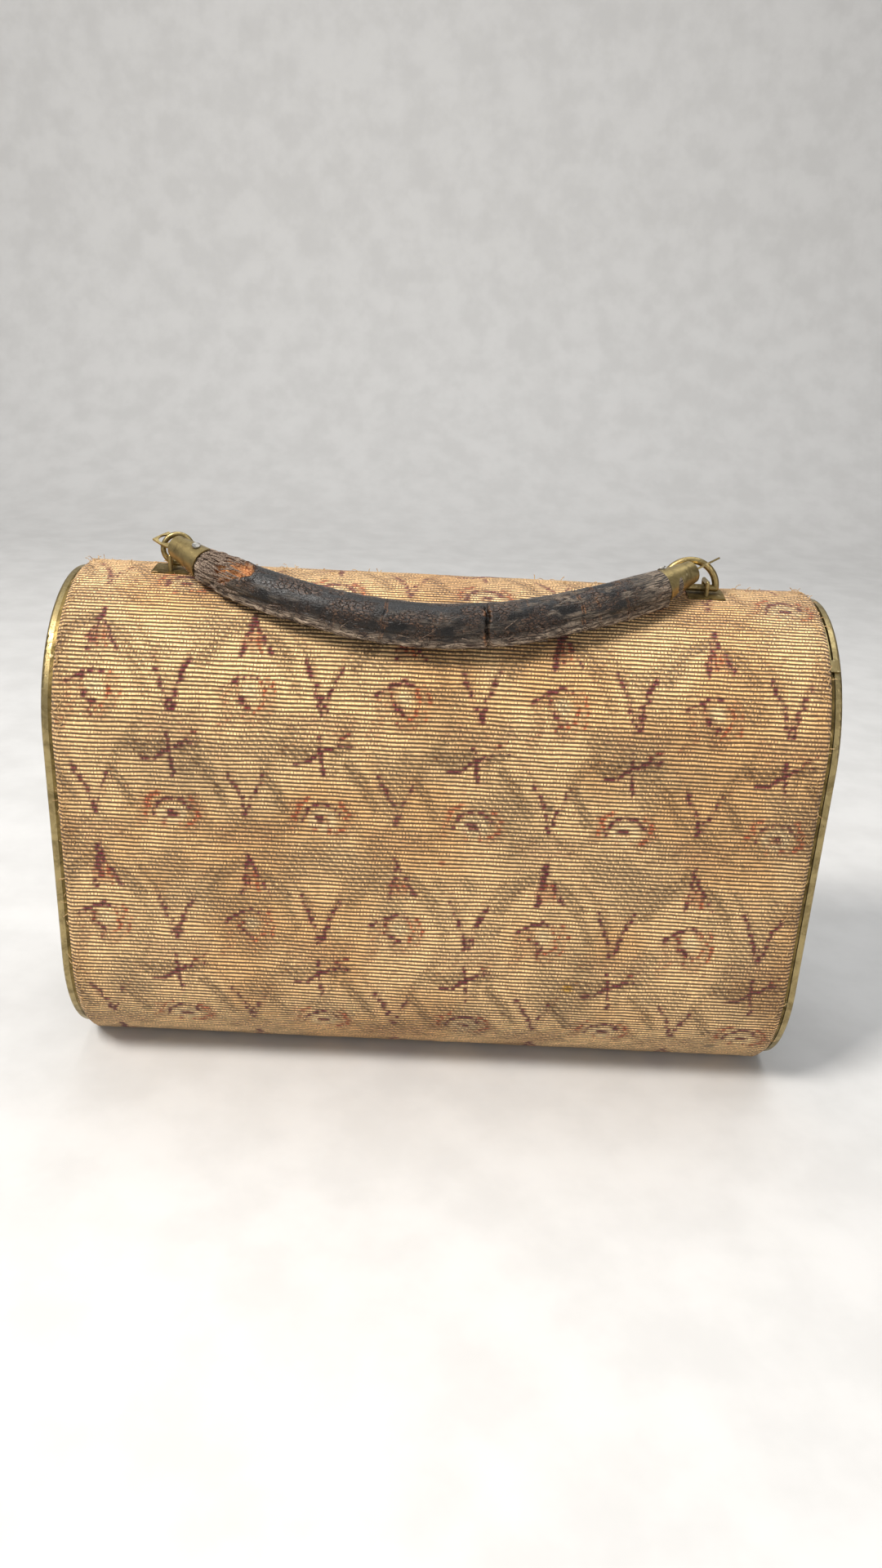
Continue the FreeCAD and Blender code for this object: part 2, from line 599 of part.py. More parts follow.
def make_staple(label, along):
    """U-shaped wire staple astride a ring, its legs through the top of the bag."""
    height = "(%s + sizes.%s)" % (AXIS_Z, label.replace("staple_", "staple_rise_"))
    crown = tool("Cylinder", label + "_crown", Radius="sizes.staple_wire",
                 Height="sizes.staple_half * 2")
    place(crown, along, "sizes.axis_back + sizes.staple_half", height, (1, 0, 0), "90 deg")
    parts = [crown]
    for number, sign in enumerate(("-", "+")):
        back = "sizes.axis_back %s sizes.staple_half" % sign
        leg = tool("Cylinder", "%s_leg_%d" % (label, number), Radius="sizes.staple_wire",
                   Height="%s - %s" % (height, LEG_FOOT))
        parts.append(place(leg, along, back, LEG_FOOT))
        corner = tool("Sphere", "%s_corner_%d" % (label, number),
                      Radius="sizes.staple_wire")
        parts.append(place(corner, along, back, height))
    keep(fuse(label, parts), label)


def make_saddle(label, along, half_long, outer_radius, thick):
    """Plate bent to the rounded top, pierced for the two legs of a staple."""
    outer = tool("Cylinder", label + "_outer", Radius=outer_radius,
                 Height="(%s) * 2" % half_long)
    inner = tool("Cylinder", label + "_inner", Radius="%s - %s" % (outer_radius, thick),
                 Height="(%s) * 2" % half_long)
    for part in (outer, inner):
        place(part, "%s - %s" % (along, half_long), "0", HIGH_CENTRE, (0, 1, 0), "90 deg")
    slab = tool("Box", label + "_slab", Length="(%s) * 2" % half_long,
                Width="sizes.seat_half_depth * 2", Height="sizes.section_radius + 5")
    place(slab, "%s - %s" % (along, half_long), "sizes.axis_back - sizes.seat_half_depth",
          HIGH_CENTRE)
    strip = doc.addObject("Part::MultiCommon", label + "_strip")
    strip.Shapes = [cut(label + "_shell", outer, [inner]), slab]
    holes = []
    for number, sign in enumerate(("-", "+")):
        hole = tool("Cylinder", "%s_hole_%d" % (label, number),
                    Radius="sizes.staple_wire + sizes.leg_gap", Height="20")
        holes.append(place(hole, along, "sizes.axis_back %s sizes.staple_half" % sign,
                           "%s - 14" % CREST))
    keep(cut(label, strip, holes), label)


def make_ring_right():
    """D-ring: half round of wire closed by a straight bar that turns in the staple."""
    arch = tool("Torus", "ring_right_arch", Radius1="sizes.d_ring_radius",
                Radius2="sizes.d_ring_wire")
    arch.Angle3 = 180
    place(arch, "sizes.right_x", "sizes.axis_back", AXIS_Z, (1, 0, 0), "90 deg")
    bar = tool("Cylinder", "ring_right_bar", Radius="sizes.d_ring_wire",
               Height="sizes.d_ring_radius * 2")
    place(bar, "sizes.right_x - sizes.d_ring_radius", "sizes.axis_back", AXIS_Z,
          (0, 1, 0), "90 deg")
    parts = [arch, bar]
    for number, sign in enumerate(("-", "+")):
        corner = tool("Sphere", "ring_right_corner_%d" % number,
                      Radius="sizes.d_ring_wire")
        parts.append(place(corner, "sizes.right_x %s sizes.d_ring_radius" % sign,
                           "sizes.axis_back", AXIS_Z))
    keep(fuse("ring_right", parts), "ring_right")


def ring_left_centre():
    """Middle of the left ring, its lowest wire on the handle axis."""
    return V(-size("left_x"), size("axis_back"), value_of(AXIS_Z) + size("ring_radius"))


def make_ring_left():
    ring = tool("Torus", "ring_left", Radius1="sizes.ring_radius", Radius2="sizes.ring_wire")
    turn = math.radians(size("ring_turn"))
    facing = V(-math.sin(turn), -math.cos(turn), 0)
    ring.Placement = FreeCAD.Placement(
        ring_left_centre(), FreeCAD.Rotation(V(0, 0, 1), facing))
    keep(ring, "ring_left")


# ---- the handle ----------------------------------------------------------------------

def swell(share):
    """How thick the grip is between its ends (0) and its middle (1)."""
    return max(0.0, math.sin(math.pi * share)) ** 0.6


def eye_points():
    """Where the tabs of the ferrules hang on the two rings."""
    rise = size("eye_rise")
    left_turn = math.pi - math.asin((rise - size("ring_radius")) / size("ring_radius"))
    right_turn = math.asin(rise / size("d_ring_radius"))
    left = ring_left_centre() + V(size("ring_radius") * math.cos(left_turn), 0,
                                  size("ring_radius") * math.sin(left_turn))
    right = V(size("right_x"), size("axis_back"), value_of(AXIS_Z))
    right += V(size("d_ring_radius") * math.cos(right_turn), 0,
               size("d_ring_radius") * math.sin(right_turn))
    return left, right


def handle_arc():
    """Middle line of the handle: drawn from eye to eye as an arc laid on the rounded top.

    The arc is struck on the unrolled top, with X along the barrel and the other way
    measured round it, so that the grip touches the cloth over all its length.
    """
    left, right = eye_points()
    half_chord = (right.x - left.x) / 2
    middle = (right.x + left.x) / 2
    surface = size("section_radius")
    rest = surface + size("grip_radius")
    high = value_of(HIGH_CENTRE)
    eye_angle = math.atan2(-size("axis_back"), rest)
    sag = rest * (math.radians(size("grip_lie_angle")) - eye_angle)
    bend = (half_chord ** 2 + sag ** 2) / (2 * sag)
    spread = math.asin(half_chord / bend)
    low_end = surface + size("grip_lift") + size("grip_end_radius")
    rise_left = math.hypot(left.z - high, left.y) - low_end
    rise_right = math.hypot(right.z - high, right.y) - low_end
    count = 24
    points = []
    for number in range(count + 1):
        share = number / float(count)
        turn = spread * (2 * share - 1)
        along = middle + bend * math.sin(turn)
        round_top = sag - bend * (1 - math.cos(turn))
        angle = eye_angle + round_top / rest
        radius = size("grip_end_radius")
        radius += (size("grip_radius") - radius) * swell(share)
        height = surface + size("grip_lift") + radius
        run = 2 * spread * bend
        for rise, gone in ((rise_left, share * run), (rise_right, (1 - share) * run)):
            fade = max(0.0, 1 - gone / size("end_rise_run")) ** 2
            height += rise * fade
        points.append(V(along, -height * math.sin(angle), high + height * math.cos(angle)))
    curve = Part.BSplineCurve()
    curve.interpolate(points)
    return curve


def along_arc(arc, distance):
    """Point and direction on the arc at a distance from its start (or end if below 0)."""
    length = arc.length()
    if distance < 0:
        distance += length
    parameter = arc.parameterAtDistance(distance, arc.FirstParameter)
    return arc.value(parameter), V(*arc.tangent(parameter)[0])


def loft_along(arc, stations):
    """Round solid along the arc: stations are (distance, radius)."""
    wires = []
    for distance, radius in stations:
        point, direction = along_arc(arc, distance)
        wires.append(Part.Wire(Part.Circle(point, direction, radius).toShape()))
    return Part.makeLoft(wires, True, False)


def grip_stations(scale_end, scale_middle, begin, finish, count=25):
    """Radii that swell from the ends to the middle of the grip."""
    stations = []
    for number in range(count):
        share = number / (count - 1.0)
        radius = scale_end + (scale_middle - scale_end) * swell(share)
        stations.append((begin + (finish - begin) * share, radius))
    return stations


def grip_span():
    """Distances along the arc between which the grip runs."""
    length = handle_arc().length()
    begin = size("tab_long_left") + size("ferrule_long") - size("ferrule_grip_cover")
    finish = length - (size("tab_long_right") + size("ferrule_long")
                       - size("ferrule_grip_cover"))
    return begin, finish


def make_grip():
    arc = handle_arc()
    begin, finish = grip_span()
    cover = size("ferrule_grip_cover")
    core_shape = loft_along(arc, [(begin + (finish - begin) * n / 16.0, size("core_radius"))
                                  for n in range(17)])
    core = doc.addObject("Part::Feature", "grip_core")
    core.Shape = core_shape
    keep(core, "grip_core")
    hidden = cover + size("grip_inset")
    outer = loft_along(arc, grip_stations(size("grip_end_radius"), size("grip_radius"),
                                          begin + hidden, finish - hidden))
    leather = doc.addObject("Part::Feature", "grip_leather")
    leather.Shape = outer.cut(core_shape)
    keep(leather, "grip_leather")


def local_frame(point, outward, facing):
    """Placement with X along outward and Z as near facing as it can be."""
    outward = V(outward).normalize()
    normal = facing - outward * facing.dot(outward)
    normal.normalize()
    side = normal.cross(outward)
    matrix = FreeCAD.Matrix(outward.x, side.x, normal.x, point.x,
                            outward.y, side.y, normal.y, point.y,
                            outward.z, side.z, normal.z, point.z,
                            0, 0, 0, 1)
    return FreeCAD.Placement(matrix)


def tab_plate(half, tab_long):
    """Flat fish-tail tab round the eye, which is at the origin; the neck is at -X."""
    thick = size("tab_thick")
    root = size("ferrule_neck") * size("tab_root_share")
    tip = half * size("tail_share")
    shoulder = -half * size("shoulder_share")
    behind = -tab_long - size("tab_root")
    outline = [V(tip, half, 0), V(half * size("tail_notch_share"), 0, 0), V(tip, -half, 0),
               V(shoulder, -half, 0), V(behind, -root, 0), V(behind, root, 0),
               V(shoulder, half, 0)]
    plate = Part.Face(Part.makePolygon(outline + [outline[0]])).extrude(V(0, 0, thick))
    plate.translate(V(0, 0, -thick / 2))
    return plate


def eye_hole(radius):
    """Space of the eye through the tab."""
    long = 4 * size("tab_thick")
    return Part.makeCylinder(radius, long, V(0, 0, -long / 2))


def socket_cone(neck, long, floor):
    """The socket from its neck to its mouth: outside if floor is 0, else the bore."""
    wall = size("ferrule_wall") if floor else 0
    spare = size("rivet_gap") if floor else 0
    start = neck - V(floor, 0, 0)
    return Part.makeCone(size("ferrule_neck") - wall, size("ferrule_mouth") - wall,
                         long - floor + spare, start, V(-1, 0, 0))


def ferrule_rivet(at):
    """Domed rivet through one side of a socket, its shank along Z."""
    neck, mouth = size("ferrule_neck"), size("ferrule_mouth")
    surface = neck + (mouth - neck) * size("rivet_share")
    gap, wall = size("rivet_gap"), size("ferrule_wall")
    head_low = surface + 10 * gap
    shank = Part.makeCylinder(size("rivet_radius") - gap, head_low - surface + 2 * wall,
                              at + V(0, 0, surface - 2 * wall))
    head = Part.makeCylinder(size("rivet_head"), size("rivet_head_thick"),
                             at + V(0, 0, head_low))
    dome = Part.makeSphere(size("rivet_head") * 1.15, at + V(0, 0, surface - 10 * gap),
                           V(0, 0, 1), 0, 90)
    return shank.fuse(head.common(dome)).removeSplitter()


def make_ferrule(label, side):
    """Rolled brass socket, neck and pierced fish-tail tab; side -1 is left."""
    arc = handle_arc()
    name = "left" if side < 0 else "right"
    tab_long = size("tab_long_" + name)
    half = size("tab_half_" + name)
    hole_radius = size("hole_" + name)
    socket = size("ferrule_long")
    sign = 1 if side < 0 else -1
    eye, _ = along_arc(arc, 0 if side < 0 else arc.length())
    mouth, _ = along_arc(arc, sign * (tab_long + socket))
    at = local_frame(eye, eye - mouth, V(*TAB_FACING[name]))
    reach = (eye - mouth).Length
    neck = V(-tab_long, 0, 0)
    shape = tab_plate(half, tab_long).cut(eye_hole(hole_radius))
    shape = shape.fuse(socket_cone(neck, reach - tab_long, 0)).cut(
        socket_cone(neck, reach - tab_long, size("socket_floor")))
    rivet_at = neck + V(-socket * size("rivet_share"), 0, 0)
    rivet_hole = Part.makeCylinder(size("rivet_radius"), 2 * size("ferrule_mouth"), rivet_at)
    shape = shape.removeSplitter().cut(rivet_hole)
    shape.Placement = at.multiply(shape.Placement)
    ferrule = doc.addObject("Part::Feature", label)
    ferrule.Shape = shape
    keep(ferrule, label)
    rivet = ferrule_rivet(rivet_at)
    rivet.Placement = at.multiply(rivet.Placement)
    return rivet


make_tapestry_cover()
make_body_shell()
make_lining()
make_fixed_end()
make_pins("frame_pins_left", -1)
make_mouth()
make_pins("mouth_pins_right", 1)
make_clamp_strip_right()
make_lid()
make_hinge()
doc.recompute()
make_catch()
STAPLES = (
    ("right", "(sizes.right_x + sizes.staple_offset)"),
    ("left", "(sizes.staple_shift - sizes.left_x)"),
)
for side_name, staple_along in STAPLES:
    make_staple("staple_" + side_name, staple_along)
    make_saddle("staple_seat_" + side_name, staple_along, "sizes.seat_half_long",
                "(%s + sizes.seat_thick)" % RADIUS, "sizes.seat_thick")
    make_saddle("clinch_plate_" + side_name, staple_along, "sizes.clinch_half_long",
                "(%s - %s - sizes.fit_gap)" % (RADIUS, LINING_IN), "sizes.clinch_thick")
make_ring_right()
make_ring_left()
doc.recompute()
make_grip()
rivet_shapes = [make_ferrule("ferrule_left", -1), make_ferrule("ferrule_right", 1)]
rivets = doc.addObject("Part::Feature", "ferrule_rivets")
rivets.Shape = Part.makeCompound(rivet_shapes)
keep(rivets, "ferrule_rivets")
doc.recompute()

os.makedirs("parts", exist_ok=True)
for thing in doc.Objects:
    if "Invalid" in thing.State or "Error" in thing.State:
        raise RuntimeError("%s has state %s" % (thing.Name, thing.State))
for node in nodes:
    shape = node.Shape
    if shape.isNull() or not shape.isValid() or not shape.Solids:
        raise RuntimeError("%s has no valid solid" % node.Label)
    shape.exportStep("parts/%s.step" % node.Label)
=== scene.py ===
import math

import bpy
import numpy as np
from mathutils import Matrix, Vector


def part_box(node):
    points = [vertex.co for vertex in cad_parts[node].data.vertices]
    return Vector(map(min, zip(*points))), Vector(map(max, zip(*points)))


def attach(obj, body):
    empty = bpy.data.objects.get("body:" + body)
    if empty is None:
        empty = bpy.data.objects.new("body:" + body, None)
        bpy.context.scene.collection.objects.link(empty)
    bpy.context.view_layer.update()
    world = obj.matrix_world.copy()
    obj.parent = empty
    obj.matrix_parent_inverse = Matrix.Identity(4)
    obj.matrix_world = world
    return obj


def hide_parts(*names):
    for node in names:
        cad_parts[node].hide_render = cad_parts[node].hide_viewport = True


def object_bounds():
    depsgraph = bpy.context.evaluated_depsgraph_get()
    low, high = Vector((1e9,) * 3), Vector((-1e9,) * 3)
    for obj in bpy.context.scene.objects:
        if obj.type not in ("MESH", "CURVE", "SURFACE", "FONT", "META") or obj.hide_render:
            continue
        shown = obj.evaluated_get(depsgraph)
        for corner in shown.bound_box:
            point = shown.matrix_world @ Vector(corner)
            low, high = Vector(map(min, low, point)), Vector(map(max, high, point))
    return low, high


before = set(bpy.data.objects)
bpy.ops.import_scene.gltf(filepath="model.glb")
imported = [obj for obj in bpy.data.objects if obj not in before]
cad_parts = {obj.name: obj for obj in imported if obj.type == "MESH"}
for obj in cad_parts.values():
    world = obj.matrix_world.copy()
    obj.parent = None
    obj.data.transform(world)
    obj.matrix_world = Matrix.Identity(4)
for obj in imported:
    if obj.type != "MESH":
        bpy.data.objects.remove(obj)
CAD_LOW, CAD_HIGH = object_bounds()

# -------- sizes, in metres
COVER_LOW, COVER_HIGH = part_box("tapestry_cover")
HALF_LONG = COVER_HIGH.x
RADIUS = (COVER_HIGH.y - COVER_LOW.y) / 2
# The rounded foot, which no box tells: the same values as in part.py.
BASE_ROUND = 0.014
BASE_DROP = 0.043
HIGH_CENTRE = COVER_HIGH.z - RADIUS
STRAIGHT = HIGH_CENTRE - BASE_DROP
BOARD_OUT = 0.0016
CORNER_TURN = math.acos((BASE_DROP - BASE_ROUND) / (RADIUS - BASE_ROUND))
BASE_HALF = math.sin(CORNER_TURN) * (RADIUS - BASE_ROUND)

# The cloth, and the silk glued inside the board.
RIB = 0.00136
STITCH = 0.00105
FLAT_MARGIN = 0.01
LINING_IN = 0.0038
LINING_THICK = 0.0004

# The woven repeat, in millimetres.
MOTIF_ACROSS = 48.4
MOTIF_DOWN = 80.0
MOTIF_TOP = 115.9
FIRST_COLUMN = -11.7
SECOND_COLUMN = 12.5

# The handle, with the same values as in part.py.
EYE_LEFT = Vector((-0.0927, -0.004, 0.179))
EYE_RIGHT = Vector((0.08413, -0.004, 0.179))
GRIP_MIDDLE = 0.0069
GRIP_END = 0.0055
GRIP_LIFT = 0.0004
GRIP_LIE = math.radians(41.9)
RISE_RUN = 0.024
TAB_LEFT = 0.0054
TAB_RIGHT = 0.0068
SOCKET_LONG = 0.0145

# The visual grip's own: how far it goes into each socket, and, in millimetres, where its seam
# lies on the flat leather.
SOCKET_HIDES = 0.006
ARC_MARGIN = 25

# Grain of the end leather, cells in a metre.
GRAIN = 1500.0

CAMERA_PLACE = (0.001, -0.39, 0.256)
CAMERA_PITCH = math.radians(22.4)
CAMERA_ROLL = math.radians(2.7)
CAMERA_LENS = 27.04

MM = 1000  # millimetres in a metre

random = np.random.default_rng(7)


# -------- numbers and noise
def linear(red, green, blue):
    """A colour as it is seen, 0 to 255, as the light it gives back."""
    c = np.array([red, green, blue], float) / 255
    return np.where(c <= 0.04045, c / 12.92, ((c + 0.055) / 1.055) ** 2.4)


def hashed(*whole):
    """One number from 0 to 1 for every set of whole numbers."""
    mix = np.zeros(np.broadcast(*whole).shape, float)
    for factor, part in zip((12.9898, 78.233, 37.719, 9.151), whole):
        mix = mix + factor * part
    value = np.sin(mix) * 43758.5453
    return value - np.floor(value)


def noise2(x, y, seed=0):
    """Smooth noise over a plane, 0 to 1."""
    fx, fy = np.floor(x), np.floor(y)
    tx, ty = x - fx, y - fy
    tx, ty = tx * tx * (3 - 2 * tx), ty * ty * (3 - 2 * ty)
    a = hashed(fx, fy, seed)
    b = hashed(fx + 1, fy, seed)
    c = hashed(fx, fy + 1, seed)
    d = hashed(fx + 1, fy + 1, seed)
    return (a * (1 - tx) + b * tx) * (1 - ty) + (c * (1 - tx) + d * tx) * ty


def cloud(x, y, seed=0, octaves=4):
    """Layered noise, 0 to 1."""
    total, weight, size = 0, 0, 1.0
    for layer in range(octaves):
        total = total + size * noise2(x * 2 ** layer, y * 2 ** layer, seed + layer)
        weight += size
        size *= 0.55
    return total / weight


def step(low, high, value):
    """Smooth step from 0 at low to 1 at high."""
    t = np.clip((value - low) / (high - low), 0, 1)
    return t * t * (3 - 2 * t)


# -------- mesh building
def add_mesh(name, points, faces):
    """A mesh object from points and faces, smooth shaded."""
    mesh = bpy.data.meshes.new(name)
    mesh.from_pydata([tuple(p) for p in points], [], faces)
    mesh.polygons.foreach_set("use_smooth", [True] * len(mesh.polygons))
    mesh.update()
    thing = bpy.data.objects.new(name, mesh)
    bpy.context.scene.collection.objects.link(thing)
    return thing


def grid_faces(rows, columns, wrap_rows=False, wrap_columns=False):
    """Quads over a grid of rows times columns points."""
    r = np.arange(rows if wrap_rows else rows - 1)
    c = np.arange(columns if wrap_columns else columns - 1)
    r, c = np.meshgrid(r, c, indexing="ij")
    r, c = r.ravel(), c.ravel()
    r2, c2 = (r + 1) % rows, (c + 1) % columns
    quads = [r * columns + c, r * columns + c2, r2 * columns + c2, r2 * columns + c]
    return np.stack(quads, 1).tolist()


def corners(thing):
    """The number of the point at each corner of each face."""
    points = np.zeros(len(thing.data.loops), np.int32)
    thing.data.loops.foreach_get("vertex_index", points)
    return points


def set_flat(thing, places):
    """The place of every face corner on the flat material, in metres, as a UV map."""
    layer = thing.data.uv_layers.new(name="flat")
    layer.data.foreach_set("uv", places.astype(np.float32).ravel())


def set_colour(thing, name, colour):
    """A colour for every point."""
    layer = thing.data.color_attributes.new(name, "FLOAT_COLOR", "POINT")
    full = np.ones((len(colour), 4), np.float32)
    full[:, :3] = colour
    layer.data.foreach_set("color", full.ravel())


def tube_faces(rows, sides):
    """Quads round a tube of rings of points, closed at both ends."""
    faces = grid_faces(rows, sides, wrap_columns=True)
    faces.append(list(range(sides)))
    faces.append([(rows - 1) * sides + k for k in reversed(range(sides))])
    return faces


def tube(line, radii, sides):
    """A round thread or wire along a line of points."""
    line = np.asarray(line, float)
    radii = np.broadcast_to(np.asarray(radii, float), (len(line),))
    along = np.gradient(line, axis=0)
    along /= np.linalg.norm(along, axis=1)[:, None]
    up = np.array([0.0, 0.0, 1.0])
    if abs(along[0] @ up) > 0.9:
        up = np.array([0.0, 1.0, 0.0])
    first = np.cross(along, up)
    first /= np.linalg.norm(first, axis=1)[:, None]
    second = np.cross(along, first)
    turn = np.linspace(0, 2 * math.pi, sides, endpoint=False)
    ring = first[:, None] * np.cos(turn)[:, None] + second[:, None] * np.sin(turn)[:, None]
    points = (line[:, None] + ring * radii[:, None, None]).reshape(-1, 3)
    return points, tube_faces(len(line), sides)


def join_parts(name, parts):
    """One object from several (points, faces)."""
    points, faces, start = [], [], 0
    for some, theirs in parts:
        points.append(np.asarray(some))
        faces += [[k + start for k in face] for face in theirs]
        start += len(some)
    return add_mesh(name, np.concatenate(points), faces)


# -------- the barrel's section
def half_section(s, offset):
    """Point and outward direction on the front half, s metres along from the base's middle."""
    corner_long = BASE_ROUND * CORNER_TURN
    low_long = RADIUS * (math.pi / 2 - CORNER_TURN)
    ends = np.cumsum([BASE_HALF, corner_long, low_long, STRAIGHT])
    y, z = np.zeros_like(s), np.zeros_like(s)
    ny, nz = np.zeros_like(s), np.zeros_like(s)

    flat = s < ends[0]
    y[flat], z[flat], nz[flat] = -s[flat], 0, -1

    corner = (s >= ends[0]) & (s < ends[1])
    turn = (s[corner] - ends[0]) / BASE_ROUND
    ny[corner], nz[corner] = -np.sin(turn), -np.cos(turn)
    y[corner] = -BASE_HALF + BASE_ROUND * ny[corner]
    z[corner] = BASE_ROUND + BASE_ROUND * nz[corner]

    low = (s >= ends[1]) & (s < ends[2])
    turn = CORNER_TURN + (s[low] - ends[1]) / RADIUS
    ny[low], nz[low] = -np.sin(turn), -np.cos(turn)
    y[low] = RADIUS * ny[low]
    z[low] = BASE_DROP + RADIUS * nz[low]

    side = (s >= ends[2]) & (s < ends[3])
    ny[side] = -1
    y[side] = -RADIUS
    z[side] = BASE_DROP + s[side] - ends[2]

    top = s >= ends[3]
    turn = (s[top] - ends[3]) / RADIUS
    ny[top], nz[top] = -np.cos(turn), np.sin(turn)
    y[top] = RADIUS * ny[top]
    z[top] = HIGH_CENTRE + RADIUS * nz[top]
    return y - ny * offset, z - nz * offset, ny, nz


HALF_ROUND = (BASE_HALF + BASE_ROUND * CORNER_TURN + RADIUS * (math.pi / 2 - CORNER_TURN)
              + STRAIGHT + RADIUS * math.pi / 2)
ROUND = 2 * HALF_ROUND


def section(s, offset=0.0):
    """Point and outward direction on the whole section, front first."""
    s = np.asarray(s, float)
    back = s > HALF_ROUND
    y, z, ny, nz = half_section(np.where(back, ROUND - s, s), offset)
    sign = np.where(back, -1.0, 1.0)
    return y * sign, z, ny * sign, nz


# -------- the woven pattern
CREAM = linear(238, 206, 156)
STRAW = linear(212, 168, 114)
WINE = linear(108, 26, 44)
BROWN = linear(138, 62, 46)
OLIVE = linear(134, 98, 54)
SALMON = linear(192, 104, 66)
PALE = linear(240, 216, 170)
GREY = linear(128, 100, 72)
RUST = linear(168, 96, 58)
PINK = linear(158, 98, 78)

# Each stroke: column (0 or 1), colour, half width, broken share, points (across, down) in mm.
STROKES = [
    (0, WINE, 1.00, 0.22, [(0.2, -2.5), (0, 0), (-1, 5), (-2.4, 12.4)]),
    (0, WINE, 0.66, 0.2, [(0.4, 0), (1.6, 2.5), (4, 7.5), (6.3, 12)]),
    (0, BROWN, 0.6, 0.5, [(0.2, 4), (0.4, 11)]),
    (0, SALMON, 0.7, 0.5, [(1.8, 5), (3, 11)]),
    (0, WINE, 0.72, 0.2, [(-8.2, 23.6), (-4.5, 20.8), (0.5, 18.9), (3.2, 19.8)]),
    (0, SALMON, 0.6, 0.35, [(3.6, 20.6), (5.6, 24), (4.8, 28), (2, 31.2)]),
    (0, SALMON, 0.6, 0.5, [(6.4, 19.5), (8.6, 24), (7.4, 31)]),
    (0, WINE, 0.8, 0.3, [(-2.4, 26.2), (-0.4, 28.6), (1.2, 29.2)]),
    (0, BROWN, 0.55, 0.35, [(-3, 22.2), (-3.2, 26.5)]),
    (0, BROWN, 0.6, 0.4, [(-0.2, 29.5), (-0.6, 33)]),
    (0, WINE, 0.72, 0.22, [(-6.8, 50), (-4.6, 53.6), (-1.6, 59), (-0.6, 65.4)]),
    (0, WINE, 0.6, 0.55, [(4.6, 51), (3, 55.5), (1, 59.5), (0.2, 65)]),
    (1, WINE, 0.74, 0.34, [(-6.8, 13.5), (-3.8, 20), (-2.2, 25), (-1, 31)]),
    (1, WINE, 0.78, 0.34, [(5.4, 15), (3.2, 20), (1.4, 25), (0.6, 30.5)]),
    (1, WINE, 0.9, 0.55, [(-0.6, 26), (0.2, 30.6)]),
    (1, WINE, 0.62, 0.22, [(-1.2, 37.6), (-0.2, 44), (0.5, 51.8)]),
    (1, WINE, 0.74, 0.1, [(-8.5, 46.8), (-4.6, 46.4), (-0.6, 43), (2, 41.8)]),
    (1, WINE, 0.8, 0.4, [(2.4, 42), (5, 40), (8.4, 40.4)]),
    (1, BROWN, 0.6, 0.35, [(5, 38.4), (8.7, 36.4)]),
    (1, WINE, 0.66, 0.15, [(-6.4, 66), (-5, 61.8), (-1, 59.6), (3, 60.2), (5.6, 63.6)]),
    (1, SALMON, 0.75, 0.3, [(-8.8, 65), (-7.6, 60.2), (-4.4, 57.8)]),
    (1, SALMON, 0.85, 0.28, [(5.6, 59.5), (8, 62.5), (8.4, 66.6), (5.2, 69)]),
    (1, WINE, 1.05, 0.12, [(-1.2, 64.8), (1, 64.9)]),
    (1, SALMON, 0.6, 0.45, [(-2.6, 66.6), (-2.2, 69.4)]),
    (1, SALMON, 0.6, 0.45, [(2.2, 66.8), (2.6, 69.2)]),
]

